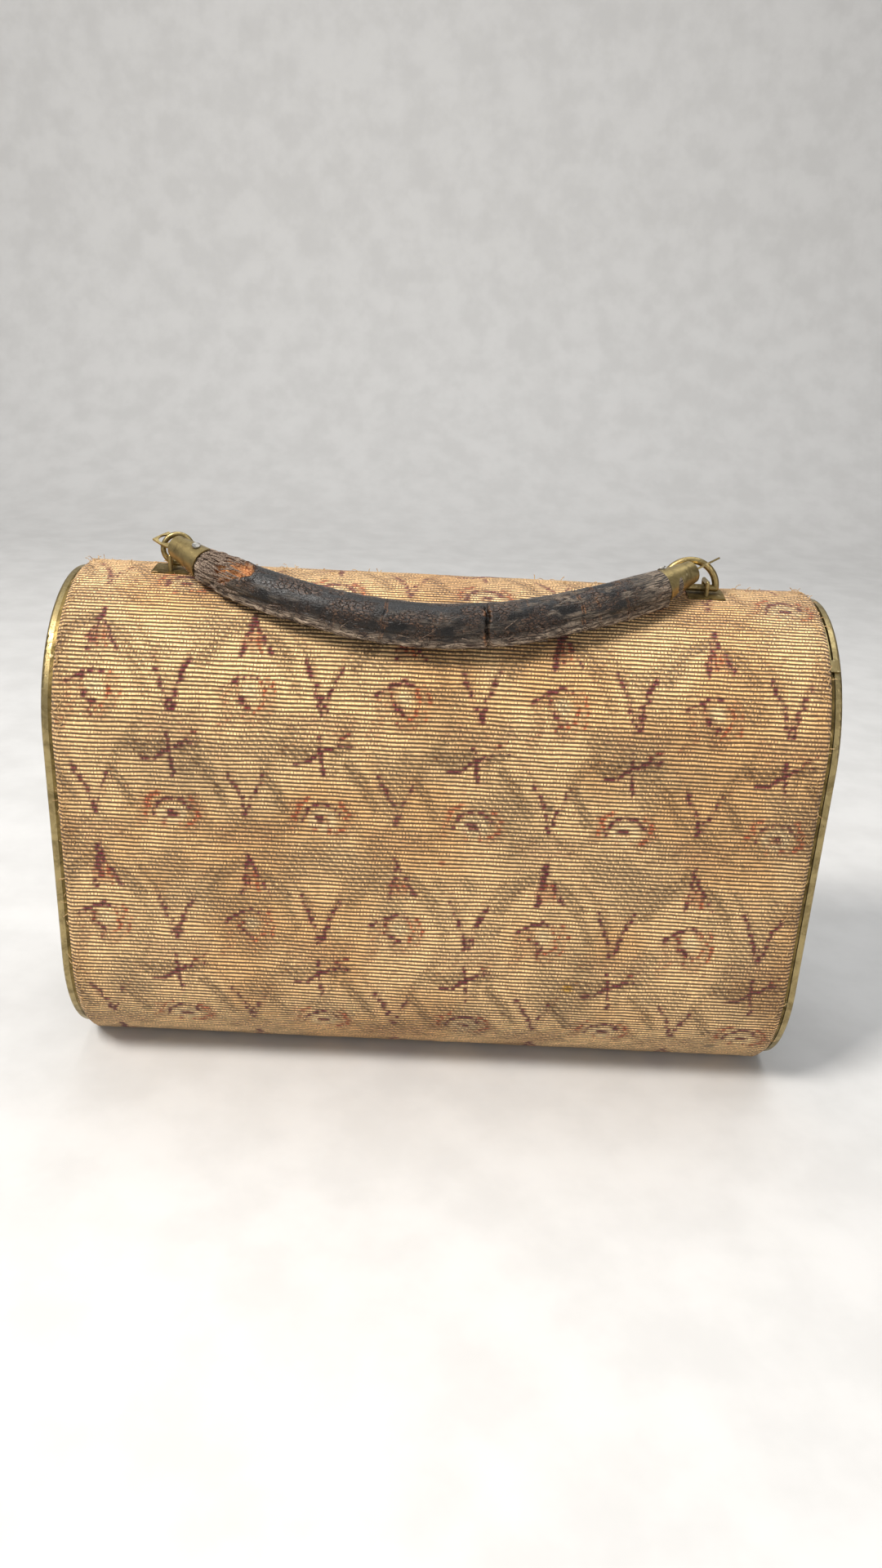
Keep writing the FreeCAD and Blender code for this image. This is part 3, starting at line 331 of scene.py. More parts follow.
# Each band of slanting stitches: column, colour, half width, slant, strength, points in mm.
BANDS = [
    (0, OLIVE, 2.8, 0.75, 0.72, [(-2.5, 1.5), (-8, 5), (-13, 12), (-15, 15)]),
    (0, OLIVE, 2.2, -0.75, 0.72, [(4, 4), (9, 9), (12.5, 13.5)]),
    (0, OLIVE, 1.1, 0.75, 0.55, [(-12, 4), (-18, 12), (-22, 22)]),
    (0, OLIVE, 1.1, -0.75, 0.55, [(12, 4), (18, 12), (22, 22)]),
    (0, SALMON, 2.2, 0.75, 0.5, [(-7.5, 25), (-6, 31), (-9, 36)]),
    (0, RUST, 2.8, 0.75, 0.48, [(-4, 22), (0.5, 33)]),
    (0, SALMON, 1.6, -0.75, 0.45, [(6, 21), (6.5, 29), (3, 34)]),
    (0, OLIVE, 1.5, 0.75, 0.5, [(-17, 34), (-20, 42), (-21, 50)]),
    (0, OLIVE, 1.8, 0.7, 0.55, [(5, 50), (9, 43), (14, 36)]),
    (0, OLIVE, 2.2, -0.7, 0.62, [(-16, 46), (-12.5, 51), (-9, 57)]),
    (1, OLIVE, 3, 0.7, 0.95, [(-11.5, 42.4), (-7, 43.8), (-2.6, 41.6)]),
    (1, OLIVE, 2, 0.7, 0.95, [(4, 42.6), (8.8, 40.6)]),
    (1, OLIVE, 2, -0.7, 0.7, [(8, 47), (13, 53), (17, 61)]),
    (1, OLIVE, 2.2, -0.7, 0.8, [(-18.5, 51), (-15.5, 56), (-12.5, 62)]),
    (1, OLIVE, 1.5, 0.7, 0.5, [(-24, 66), (-16, 73), (-6, 77)]),
    (1, OLIVE, 1.5, -0.7, 0.5, [(24, 66), (16, 73), (6, 77)]),
    (1, OLIVE, 1.8, 0.7, 0.5, [(-16, 12), (-11, 18), (-8, 26)]),
    (1, SALMON, 2.2, 0.75, 0.45, [(-8.5, 60), (-9.5, 68)]),
    (1, RUST, 2.6, -0.75, 0.55, [(6.5, 60), (9, 66), (6, 70)]),
    (1, PINK, 4, 0.7, 0.42, [(-8, 34), (0, 35.5), (8, 33)]),
    (0, PINK, 4.6, 0.7, 0.42, [(-6, 71), (0, 73.5), (6, 71)]),
    (0, OLIVE, 1.8, 0.75, 0.45, [(-24, 60), (-14, 66), (-7, 76)]),
    (0, OLIVE, 1.8, -0.75, 0.42, [(24, 60), (14, 66), (7, 76)]),
    # Thin rings round each figure.
    (1, RUST, 0.8, 0.75, 0.4, [(-21.5, 60), (-18.5, 51), (-12, 42.4), (-4, 37.6)]),
    (1, RUST, 0.8, -0.75, 0.4, [(3, 36.6), (12, 40.6), (18.5, 49), (21.5, 58)]),
    (0, RUST, 0.7, 0.75, 0.34, [(-21.5, 19), (-18, 9), (-11, 1.5), (-3, -3)]),
    (0, RUST, 0.7, -0.75, 0.34, [(4, -3), (12, 2), (18.5, 9.5), (21.5, 19)]),
]


# Darker patches: x along the barrel, s up its front, reach in mm, strength.
PATCHES = ((-85, 150, 22, 0.22), (-78, 141, 12, 0.2), (70, 118, 26, 0.1), (-112, 190, 16, 0.3),
           (112, 70, 16, 0.22), (-100, 70, 16, 0.14), (12, 196, 40, 0.1))

# Spots of a mustard, two browns and a grey: x, s and reach in mm, colour.
SPOTS = ((47, 72, 2.6, (196, 150, 40)), (36, 138, 1.9, (70, 56, 44)),
         (2.5, 117, 1.6, (150, 66, 40)), (100, 44, 3.0, (96, 84, 70)))


def to_line(x, y, points):
    """Shortest distance from every (x, y) to a line of points."""
    best = np.full(x.shape, 1e9)
    for (ax, ay), (bx, by) in zip(points[:-1], points[1:]):
        dx, dy = bx - ax, by - ay
        t = np.clip(((x - ax) * dx + (y - ay) * dy) / max(dx * dx + dy * dy, 1e-9), 0, 1)
        best = np.minimum(best, np.hypot(x - ax - t * dx, y - ay - t * dy))
    return best


def tint(dye, colour, share):
    """Draws the dye towards a colour, in place, by a share for every point."""
    dye += (colour - dye) * share[:, None]


def pattern(x_mm, s_mm):
    """Dye of the yarn at each place: x along the barrel, s round it from the base's middle."""
    row = np.floor(s_mm / (RIB * MM))
    shift = hashed(row, 3) * 1.2
    stitch = np.floor(x_mm / (STITCH * MM) + shift)
    x = (stitch + 0.5 - shift) * STITCH * MM
    s = (row + 0.5) * RIB * MM
    x = 0.55 * x + 0.45 * x_mm
    s = 0.75 * s + 0.25 * s_mm
    # The weave is never quite square: the motifs wander a little, and worn yarns slip.
    x = (x + 1.2 * (noise2(x / 40, s / 40, 5) - 0.5) + 0.9 * (hashed(row, 8) - 0.5)
         + 0.5 * (hashed(row, stitch, 8) - 0.5))
    s = s + 1.4 * (noise2(x / 40, s / 40, 9) - 0.5)

    depth = cloud(x_mm / 30, s_mm / 30, 21)
    figure = np.zeros(len(x))
    ground = CREAM * 0.62 + STRAW * 0.38
    dye = np.repeat(ground[None], len(x), 0)
    dye = dye + (STRAW - ground) * (0.8 * step(0.45, 0.75, depth))[:, None]
    across_row = hashed(row, 17)
    dye *= (0.94 + 0.1 * across_row)[:, None]

    for column, start in ((0, FIRST_COLUMN), (1, SECOND_COLUMN)):
        dx = np.mod(x - start + MOTIF_ACROSS / 2, MOTIF_ACROSS) - MOTIF_ACROSS / 2
        w = np.mod(MOTIF_TOP - s + 4, MOTIF_DOWN) - 4
        which = np.floor((x - start) / MOTIF_ACROSS + 0.5)
        tier = np.floor((MOTIF_TOP - s + 4) / MOTIF_DOWN)
        worn = 0.55 + 0.6 * cloud(x / 22, s / 22, 31)
        for own, colour, half, slant, strength, points in BANDS:
            if own != column:
                continue
            near = step(half * 1.25, half * 0.45, to_line(dx, w, points))
            hatch = 0.5 + 0.5 * np.sin((dx * slant + w) * 2 * math.pi / 2.75)
            keep = near * strength * (0.08 + 0.8 * hatch ** 1.5) * worn
            keep *= 0.3 + 0.95 * hashed(row, stitch, 41)
            tint(dye, colour, np.clip(keep, 0, 0.85))
            figure = np.maximum(figure, near * np.clip(strength * 1.2, 0, 1) * worn)
        for number, (own, colour, half, broken, points) in enumerate(STROKES):
            if own != column:
                continue
            width = half * (0.82 + 0.4 * hashed(which, tier, number))
            near = step(width * 1.35, width * 0.6, to_line(dx, w, points))
            there = hashed(row, stitch, number, 51) > broken * 1.15
            near *= np.where(there, 1.0, 0.25) * np.clip(worn * 1.15, 0.55, 1)
            tint(dye, colour, np.clip(near, 0, 0.92))
            figure = np.maximum(figure, 0.7 * near)
        if column == 0:
            inside = step(3.2, 1.6, np.hypot(dx - 0.8, w - 24.4))
            tint(dye, PALE, 0.55 * inside)
            cell = step(3.6, 2.0, np.hypot(dx * 0.8, w - 8))
            tint(dye, SALMON, 0.22 * cell)
        else:
            ring = np.hypot(dx * 0.85, (w - 65) * 1.1)
            pale = step(1.6, 2.3, ring) * step(4.6, 3.2, ring)
            tint(dye, PALE, 0.5 * pale)

    # Single off-colour stitches, thicker in some places.
    specks = hashed(row, stitch, 61)
    where = cloud(x / 9, s / 9, 71)
    tint(dye, BROWN, 0.3 * (specks > 0.985) * step(0.4, 0.7, where))
    tint(dye, GREY, 0.26 * (specks < 0.1) * step(0.5, 0.72, where))
    return dye, figure


def soil(dye, x_mm, s_mm):
    """Years of dirt and rubbing on the dyed cloth, and an even darkening towards the base."""
    crest = HALF_ROUND * MM
    smudge = cloud(x_mm / 26, s_mm / 26, 81)
    dye *= (1 - 0.2 * step(0.5, 0.8, smudge))[:, None]
    for px, ps, reach, strength in PATCHES:
        far = np.hypot(x_mm - px, s_mm - ps) / reach
        patch = step(1.0, 0.1, far) * (0.5 + cloud(x_mm / 5, s_mm / 5, 91))
        tint(dye, linear(104, 84, 64), np.clip(strength * patch, 0, 0.7))
    edge = step(8, 0, HALF_LONG * MM - np.abs(x_mm))
    rub = edge * (0.35 + 0.8 * cloud(x_mm / 3, s_mm / 6, 95))
    tint(dye, linear(150, 118, 82), np.clip(0.42 * rub, 0, 0.6))
    # Evenly darker towards the base, over the flat foot and its rounded corners.
    foot = step(24, 6, s_mm) + step(ROUND * MM - 24, ROUND * MM - 6, s_mm)
    tint(dye, linear(140, 112, 78), 0.4 * foot)
    top = step(26, 4, np.abs(s_mm - crest))
    tint(dye, linear(190, 140, 110), 0.2 * top * (0.4 + cloud(x_mm / 7, s_mm / 7, 97)))
    for px, ps, reach, colour in SPOTS:
        far = np.hypot(x_mm - px, (s_mm - ps) * 1.3) / reach
        tint(dye, linear(*colour), 0.75 * step(1.0, 0.4, far))
    return dye


# -------- node materials
class Nodes:
    """A material being built from nodes."""

    def __init__(self, name):
        self.material = bpy.data.materials.new(name)
        self.material.use_nodes = True
        self.tree = self.material.node_tree
        self.tree.nodes.clear()
        self.out = self.new("OutputMaterial")
        self.shader = self.new("BsdfPrincipled")
        self.link(self.shader.outputs[0], self.out.inputs["Surface"])

    def new(self, kind):
        return self.tree.nodes.new("ShaderNode" + kind)

    def link(self, a, b):
        self.tree.links.new(a, b)

    def feed(self, socket, value):
        if isinstance(value, (int, float)):
            socket.default_value = value
        elif isinstance(value, (tuple, list, np.ndarray)):
            value = [float(v) for v in value]
            if len(socket.default_value) == 4 and len(value) == 3:
                value = value + [1.0]
            socket.default_value = value
        else:
            self.link(value, socket)

    def maths(self, kind, a, b=None, c=None, clamp=False):
        node = self.new("Math")
        node.operation = kind
        node.use_clamp = clamp
        for socket, value in zip(node.inputs, (a, b, c)):
            if value is not None:
                self.feed(socket, value)
        return node.outputs[0]

    def times(self, a, b, clamp=False):
        return self.maths("MULTIPLY", a, b, clamp=clamp)

    def plus(self, a, b, clamp=False):
        return self.maths("ADD", a, b, clamp=clamp)

    def sine(self, a):
        return self.maths("SINE", a)

    def times_plus(self, a, b, c):
        """a times b, plus c."""
        return self.maths("MULTIPLY_ADD", a, b, c)

    def coords(self):
        return self.new("TexCoord").outputs["Object"]

    def flat(self):
        node = self.new("UVMap")
        node.uv_map = "flat"
        return node.outputs[0]

    def attribute(self, name):
        node = self.new("Attribute")
        node.attribute_name = name
        return node.outputs["Color"]

    def split(self, vector):
        node = self.new("SeparateXYZ")
        self.link(vector, node.inputs[0])
        return node.outputs

    def combine(self, x, y, z=0.0):
        node = self.new("CombineXYZ")
        for socket, value in zip(node.inputs, (x, y, z)):
            self.feed(socket, value)
        return node.outputs[0]

    def scaled(self, vector, by):
        node = self.new("VectorMath")
        node.operation = "MULTIPLY"
        self.link(vector, node.inputs[0])
        node.inputs[1].default_value = by
        return node.outputs[0]

    def noise(self, vector, scale, detail=4.0, rough=0.55, distort=0.0):
        """Noise at one scale, or at three where scale has a number for each direction."""
        node = self.new("TexNoise")
        if isinstance(scale, tuple):
            vector, scale = self.scaled(vector, scale), 1.0
        self.link(vector, node.inputs["Vector"])
        node.inputs["Scale"].default_value = scale
        node.inputs["Detail"].default_value = detail
        node.inputs["Roughness"].default_value = rough
        node.inputs["Distortion"].default_value = distort
        return node.outputs[0]

    def cells(self, vector, scale):
        """How far each place is from the nearest border between cells."""
        node = self.new("TexVoronoi")
        node.feature = "DISTANCE_TO_EDGE"
        self.link(vector, node.inputs["Vector"])
        node.inputs["Scale"].default_value = scale
        return node.outputs[0]

    def white(self, x, y=0.0):
        node = self.new("TexWhiteNoise")
        node.noise_dimensions = "2D"
        self.link(self.combine(x, y), node.inputs["Vector"])
        return node.outputs["Value"]

    def remap(self, value, low, high, to_low=0.0, to_high=1.0, smooth=True):
        node = self.new("MapRange")
        node.interpolation_type = "SMOOTHSTEP" if smooth else "LINEAR"
        self.feed(node.inputs[0], value)
        for socket, number in zip(node.inputs[1:5], (low, high, to_low, to_high)):
            self.feed(socket, number)
        return node.outputs[0]

    def mix(self, factor, a, b, kind="MIX"):
        node = self.new("Mix")
        node.data_type = "RGBA"
        node.blend_type = kind
        self.feed(node.inputs["Factor"], factor)
        self.feed(node.inputs[6], a)
        self.feed(node.inputs[7], b)
        return node.outputs[2]

    def dim(self, colour, by):
        """A colour made darker or lighter by one factor."""
        return self.mix(1.0, colour, self.combine(by, by, by), "MULTIPLY")

    def bump(self, height, distance, strength=1.0):
        node = self.new("Bump")
        node.inputs["Strength"].default_value = strength
        node.inputs["Distance"].default_value = distance
        self.link(height, node.inputs["Height"])
        return node.outputs[0]

    def finish(self, colour, roughness, normal, metal=0.0, **sockets):
        self.feed(self.shader.inputs["Base Color"], colour)
        self.feed(self.shader.inputs["Roughness"], roughness)
        self.link(normal, self.shader.inputs["Normal"])
        self.feed(self.shader.inputs["Metallic"], metal)
        for name, value in sockets.items():
            self.shader.inputs[name.replace("_", " ")].default_value = value
        return self.material


def tapestry_material():
    """Ribbed cloth: straw-coloured weft over the dyed pattern, with painted shade between the
    ribs, in the stitch pits and in the sunk hatching, and a painted highlight on each rib's
    crown.
    """
    n = Nodes("tapestry_weave")
    flat = n.flat()
    u, v, _ = n.split(flat)
    wobble = n.noise(flat, (70, 150, 1), 3.0)
    lean = n.noise(flat, (9, 9, 1), 2.0)
    across = n.times_plus(v, 1 / RIB, n.times(wobble, 0.85))
    across = n.times_plus(lean, 1.4, across)
    row = n.maths("FLOOR", across)
    part = n.maths("FRACT", across)
    rib = n.sine(n.times(part, math.pi))
    loose = n.white(row, 3.0)
    run = n.times_plus(u, 1 / STITCH, n.times(loose, 7.0))
    run = n.times_plus(n.noise(flat, (260, 260, 1), 2.0), 0.9, run)
    stitch = n.maths("FLOOR", run)
    part_x = n.maths("FRACT", run)
    pick = n.sine(n.times(part_x, math.pi))
    own = n.white(stitch, row)
    figure = n.split(n.attribute("figure"))[0]
    patchy = n.remap(n.noise(flat, (48, 48, 1), 4.0), 0.48, 0.62)
    busy = n.maths("MAXIMUM", figure, n.times(patchy, 0.75), clamp=True)
    # How clearly a stitch is tied down: in plain ground most run into the next one.
    tied = n.remap(own, n.times_plus(busy, -0.5, 0.55), 0.98, 0.16, 0.95)
    pit = n.maths("SUBTRACT", 1.0, n.times(n.remap(pick, 0.0, 0.6, 1.0, 0.0), tied))
    slant = n.plus(n.times(u, 2 * math.pi / 0.0024), n.times(v, 2 * math.pi / 0.003))
    slant = n.times_plus(n.sine(n.times_plus(wobble, 5.0, slant)), 0.5, 0.5)
    fibres = n.noise(flat, (900, 5200, 1), 3.0, 0.6)
    crown = n.remap(rib, 0.3, 0.98)
    sunk = n.times(busy, n.maths("SUBTRACT", 1.0, slant))
    height = n.times(crown, pit)
    height = n.times_plus(fibres, 0.22, height)
    height = n.times_plus(own, 0.22, height)
    height = n.times_plus(sunk, -0.85, height)

    dye = n.attribute("dye")
    # Painted shade: a dark brown copy of the dye for the gaps between the ribs, the stitch pits
    # and the sunk hatching.
    deep = n.mix(0.86, dye, linear(70, 42, 24))
    # Painted highlight: a brightened copy of the dye for the crowns of the ribs.
    lit = n.mix(1.0, dye, (1.62, 1.56, 1.44, 1.0), "MULTIPLY")
    # How much painted highlight rather than painted shade each place gets: most on a rib's
    # crown, least in the pits and in the sunk hatching.
    shade = n.times(crown, n.remap(pit, 0.1, 1.0, 0.15, 1.0), clamp=True)
    shade = n.times(shade, n.times_plus(sunk, -0.66, 1.0), clamp=True)
    colour = n.mix(shade, deep, lit)
    tone = n.remap(own, 0.0, 1.0, 0.78, 1.2, smooth=False)
    colour = n.dim(colour, tone)
    fleck = n.remap(fibres, 0.3, 0.75, 0.8, 1.14)
    colour = n.dim(colour, fleck)
    roughness = n.remap(fibres, 0.2, 0.8, 0.72, 0.95)
    normal = n.bump(height, 0.00062, 1.0)
    return n.finish(colour, roughness, normal, Specular_IOR_Level=0.25, Sheen_Weight=0.12,
                    Sheen_Roughness=0.5)


def brass_material(name, light, dark, rough, dirt):
    """Old brass: brown in the hollows, bright where it is rubbed, with scratches."""
    n = Nodes(name)
    place = n.coords()
    patina = n.noise(place, 210.0, 6.0, 0.65, 0.6)
    spots = n.noise(place, 1500.0, 4.0, 0.6)
    scratch = n.noise(place, (500, 4200, 4200), 3.0)
    tarnish = n.times(n.remap(patina, 0.38, 0.68), dirt)
    colour = n.mix(tarnish, linear(*light), linear(*dark))
    pitted = n.remap(spots, 0.62, 0.72)
    colour = n.mix(n.times(pitted, 0.6), colour, linear(58, 46, 28))
    bright = n.remap(n.noise(place, 420.0, 3.0), 0.66, 0.74)
    colour = n.mix(n.times(bright, 0.45), colour, linear(232, 214, 168))
    worn = n.times_plus(tarnish, 0.22, rough)
    roughness = n.times_plus(scratch, 0.1, worn)
    height = n.times_plus(pitted, -0.8, n.times(scratch, 0.5))
    normal = n.bump(n.plus(height, patina), 0.00012, 0.6)
    return n.finish(colour, roughness, normal, 1.0)


def leather_material(name, light, dark):
    """Plain thin leather with a fine grain, rubbed paler in patches."""
    n = Nodes(name)
    place = n.coords()
    cell = n.cells(place, GRAIN)
    crease = n.remap(cell, 0.0, 0.12, 0.0, 1.0)
    rubbed = n.noise(place, 60.0, 6.0, 0.6, 0.4)
    colour = n.mix(n.remap(rubbed, 0.42, 0.7), linear(*dark), linear(*light))
    colour = n.mix(n.times(n.maths("SUBTRACT", 1.0, crease), 0.5), colour, linear(*dark) * 0.5)
    roughness = n.times_plus(rubbed, 0.3, 0.4)
    normal = n.bump(n.times_plus(rubbed, 1.5, crease), 0.00012, 0.7)
    return n.finish(colour, roughness, normal, Specular_IOR_Level=0.4)


def handle_material():
    """Black leather dried to cracks: glossy where it is whole, brown and grey where worn."""
    n = Nodes("handle_leather_worn")
    flat = n.flat()
    marks = n.attribute("marks")
    split = n.new("SeparateColor")
    n.link(marks, split.inputs[0])
    torn, worn, raw = split.outputs
    warp = n.noise(flat, (120, 200, 1), 4.0, 0.6, 0.8)
    grain = n.noise(flat, (1100, 1900, 1), 5.0, 0.62)
    long_grain = n.noise(flat, (260, 2100, 1), 4.0, 0.6, 0.5)
    along, round_it, _ = n.split(n.scaled(flat, (520, 900, 1)))
    crackle = n.cells(n.combine(n.times_plus(warp, 2.4, along),
                                n.times_plus(warp, 1.8, round_it)), 1.0)
    crack = n.remap(crackle, 0.0, 0.09, 1.0, 0.0)
    crack = n.times(crack, n.remap(warp, 0.42, 0.62, 0.05, 1.0))
    colour = n.mix(n.remap(warp, 0.34, 0.7), linear(16, 14, 13), linear(44, 34, 28))
    brown = n.times(n.remap(grain, 0.48, 0.62), n.remap(warp, 0.46, 0.62), clamp=True)
    colour = n.mix(n.times(brown, 0.6), colour, linear(122, 90, 68))
    scuffed = n.times(worn, n.remap(long_grain, 0.4, 0.6), clamp=True)
    colour = n.mix(scuffed, colour, linear(168, 150, 130))
    fibre = n.mix(n.remap(long_grain, 0.4, 0.62), linear(58, 42, 34), linear(178, 158, 136))
    colour = n.mix(torn, colour, fibre)
    rust = n.mix(n.remap(grain, 0.4, 0.62), linear(140, 74, 34), linear(222, 160, 104))
    colour = n.mix(raw, colour, rust)
    colour = n.mix(n.times(crack, 0.8), colour, linear(14, 11, 10))
    dull = n.plus(torn, n.plus(raw, n.times(scuffed, 0.7)), clamp=True)
    roughness = n.times_plus(dull, 0.42, n.remap(grain, 0.3, 0.7, 0.18, 0.42))
    height = n.times_plus(crack, -0.9, n.times(grain, 0.6))
    height = n.plus(height, n.times(long_grain, n.times_plus(dull, 1.4, 0.25)))
    normal = n.bump(height, 0.00034, 0.9)
    return n.finish(colour, roughness, normal, Specular_IOR_Level=0.32)


def silk_material(name, light, dark):
    """Plain-woven silk with a faint moire, browned by age."""
    n = Nodes(name)
    place = n.coords()
    x, y, z = n.split(place)
    warp = n.sine(n.times(x, 2 * math.pi / 0.0005))
    weft = n.sine(n.times(n.plus(y, z), 2 * math.pi / 0.0006))
    weave = n.times(warp, weft)
    water = n.noise(place, (40, 160, 160), 4.0, 0.5, 1.2)
    stain = n.noise(place, 30.0, 5.0)
    colour = n.mix(n.remap(water, 0.35, 0.65), linear(*dark), linear(*light))
    colour = n.mix(n.remap(stain, 0.55, 0.75, 0.0, 0.5), colour, linear(*dark) * 0.55)
    roughness = n.remap(water, 0.3, 0.7, 0.42, 0.62)
    normal = n.bump(n.times_plus(weave, 0.3, water), 0.00012, 0.6)
    return n.finish(colour, roughness, normal, Sheen_Weight=0.2, Sheen_Roughness=0.4)


def board_material(name, light, dark, stretch=(1.0, 1.0, 1.0)):
    """Pressed board or wood: fibres drawn out along one way."""
    n = Nodes(name)
    place = n.scaled(n.coords(), stretch)
    fibre = n.noise(place, 900.0, 5.0, 0.65)
    patch = n.noise(place, 90.0, 3.0)
    colour = n.mix(n.remap(fibre, 0.3, 0.7), linear(*dark), linear(*light))
    colour = n.mix(n.remap(patch, 0.5, 0.7, 0.0, 0.35), colour, linear(*dark) * 0.6)
    roughness = n.remap(fibre, 0.3, 0.7, 0.75, 0.92)
    normal = n.bump(fibre, 0.00015, 0.6)
    return n.finish(colour, roughness, normal)


def steel_material():
    """Grey steel, dull, with rust specks."""
    n = Nodes("steel_old")
    place = n.coords()
    mottled = n.noise(place, 900.0, 5.0, 0.6)
    rust = n.remap(n.noise(place, 500.0, 6.0, 0.7), 0.56, 0.66)
    colour = n.mix(n.remap(mottled, 0.3, 0.7), linear(96, 94, 90), linear(176, 172, 164))
    colour = n.mix(n.times(rust, 0.55), colour, linear(92, 58, 36))
    roughness = n.times_plus(rust, 0.3, n.remap(mottled, 0.3, 0.7, 0.3, 0.45))
    normal = n.bump(n.plus(mottled, rust), 0.0001, 0.5)
    return n.finish(colour, roughness, normal, 0.9)


def thread_material(name, light, dark):
    """Loose fibres and threads."""
    n = Nodes(name)
    place = n.coords()
    twist = n.noise(place, (2600, 1400, 1400), 3.0)
    colour = n.mix(n.remap(twist, 0.3, 0.7), linear(*dark), linear(*light))
    roughness = n.remap(twist, 0.3, 0.7, 0.75, 0.95)
    normal = n.bump(twist, 0.0001, 0.5)
    return n.finish(colour, roughness, normal, Specular_IOR_Level=0.2)


BRASS = brass_material("brass_rim", (170, 152, 108), (96, 82, 52), 0.3, 0.6)
BRASS_DULL = brass_material("brass_handle", (172, 152, 104), (80, 68, 44), 0.3, 0.7)
BRASS_DARK = brass_material("brass_strip", (132, 112, 68), (70, 58, 34), 0.42, 0.8)
STEEL = steel_material()
TAPESTRY = tapestry_material()
HANDLE = handle_material()
SHREDS = thread_material("shredded_leather", (150, 132, 116), (66, 50, 42))
FRAYED = thread_material("frayed_yarn", (214, 182, 134), (150, 112, 70))
END_LEATHER = leather_material("end_leather", (66, 44, 32), (46, 31, 24))
BOARD = board_material("pressed_board", (150, 124, 90), (104, 82, 58))
WOOD = board_material("frame_wood", (172, 132, 84), (112, 78, 46), (0.4, 0.4, 3.0))
CORD = thread_material("cord_core", (170, 140, 100), (104, 78, 50))
SILK = silk_material("lining_silk", (152, 126, 92), (128, 104, 74))


def wear(thing, material):
    """Gives a piece its one material."""
    thing.data.materials.clear()
    thing.data.materials.append(material)


# -------- the tapestry cover
def make_tapestry():
    """The cloth round the barrel: ribbed, a little uneven, turned in under the rims."""
    rows = 640
    columns = 350
    s = np.arange(rows) * ROUND / rows
    x_out = np.linspace(-HALF_LONG, HALF_LONG, columns)
    y0, z0, ny, nz = section(s)
    x_grid, s_grid = np.meshgrid(x_out, s)
    x_mm, s_mm = x_grid * MM, s_grid * MM

    swell = 0.00034 * (cloud(x_mm / 22, s_mm / 22, 111) - 0.5)
    ribs = 0.0001 * (noise2(x_mm / 6, s_mm / (RIB * MM), 121) - 0.5)
    from_edge = HALF_LONG * MM - np.abs(x_mm)
    near_edge = step(10, 0, from_edge)
    fray = near_edge * 0.0005 * (cloud(x_mm / 2, s_mm / 3, 131) - 0.35)
    tuck = -0.0009 * step(1.4, 0, from_edge)
    off_base = step(6, 22, s_mm) * step(ROUND * MM - 6, ROUND * MM - 22, s_mm)
    crease = 0.00045 * (cloud(x_mm / 14 + 40, s_mm / 9, 127) - 0.5)
    lift = (swell + ribs + fray + crease) * off_base + tuck
    y, z = y0[:, None] + ny[:, None] * lift, z0[:, None] + nz[:, None] * lift
    points = np.stack([x_grid, y, z], 2)

    yi, zi, _, _ = section(s, BOARD_OUT - 0.0001)
    left = np.stack([np.full(rows, -HALF_LONG), yi, zi], 1)[:, None]
    right = np.stack([np.full(rows, HALF_LONG), yi, zi], 1)[:, None]
    points = np.concatenate([left, points, right], 1)
    flat_x = np.concatenate([x_grid[:, :1] - BOARD_OUT, x_grid, x_grid[:, -1:] + BOARD_OUT], 1)
    flat_s = np.concatenate([s_grid[:, :1], s_grid, s_grid[:, -1:]], 1)

    faces = grid_faces(rows, columns + 2, wrap_rows=True)
    thing = add_mesh("tapestry", points.reshape(-1, 3), faces)
    corner = corners(thing)
    flat = np.stack([flat_x.ravel() + HALF_LONG + FLAT_MARGIN, flat_s.ravel()], 1)
    flat = flat[corner].reshape(-1, 4, 2)
    # The last strip closes the loop, so its corners at the start stand for the far end.
    row = corner.reshape(-1, 4) // (columns + 2)
    closing = (row.max(1) == rows - 1) & (row.min(1) == 0)
    flat[..., 1] = np.where(closing[:, None] & (row == 0), ROUND, flat[..., 1])
    set_flat(thing, flat)

    xs, ss = flat_x.ravel() * MM, flat_s.ravel() * MM
    dye, figure = pattern(xs, ss)
    set_colour(thing, "dye", np.clip(soil(dye, xs, ss), 0, 1))
    set_colour(thing, "figure", np.repeat(np.clip(figure, 0, 1)[:, None], 3, 1))
    wear(thing, TAPESTRY)
    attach(thing, "case")
    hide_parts("tapestry_cover")


def make_fuzz():
    """Pulled threads and pilling along the edges and the crest."""
    parts = []
    for number in range(420):
        side = -1 if random.random() < 0.55 else 1
        edge = random.random() < 0.62
        if edge:
            x = side * (HALF_LONG - (0.0005 + 0.004 * random.random() ** 2))
            around = random.uniform(0.05, HALF_ROUND + 0.04)
        else:
            x = side * (HALF_LONG - 0.1 * random.random())
            around = HALF_ROUND + random.normal() * 0.012
        y, z, ny, nz = (float(v[0]) for v in section(np.array([around])))
        out = Vector((0, ny, nz))
        along = Vector((0, -nz, ny))
        root = Vector((x, y, z)) - out * 0.0002
        lean = Vector((random.normal() * 0.6, 0, 0)) + along * random.normal() * 0.6 + out * 0.35
        lean.normalize()
        long = random.uniform(0.0012, 0.0035)
        end = root + lean * long
        end -= out * 0.3 * long
        aside = Vector((random.normal(), 0, 0)) * long * 0.12
        middle = (root + end) / 2 + out * long * 0.35 + aside
        share = np.linspace(0, 1, 6)[:, None]
        line = ((1 - share) ** 2 * np.array(root) + 2 * share * (1 - share) * np.array(middle)
                + share ** 2 * np.array(end))
        parts.append(tube(line, 0.00009 + 0.00005 * random.random(), 4))
    thing = join_parts("frayed_threads", parts)
    wear(thing, FRAYED)
    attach(thing, "case")


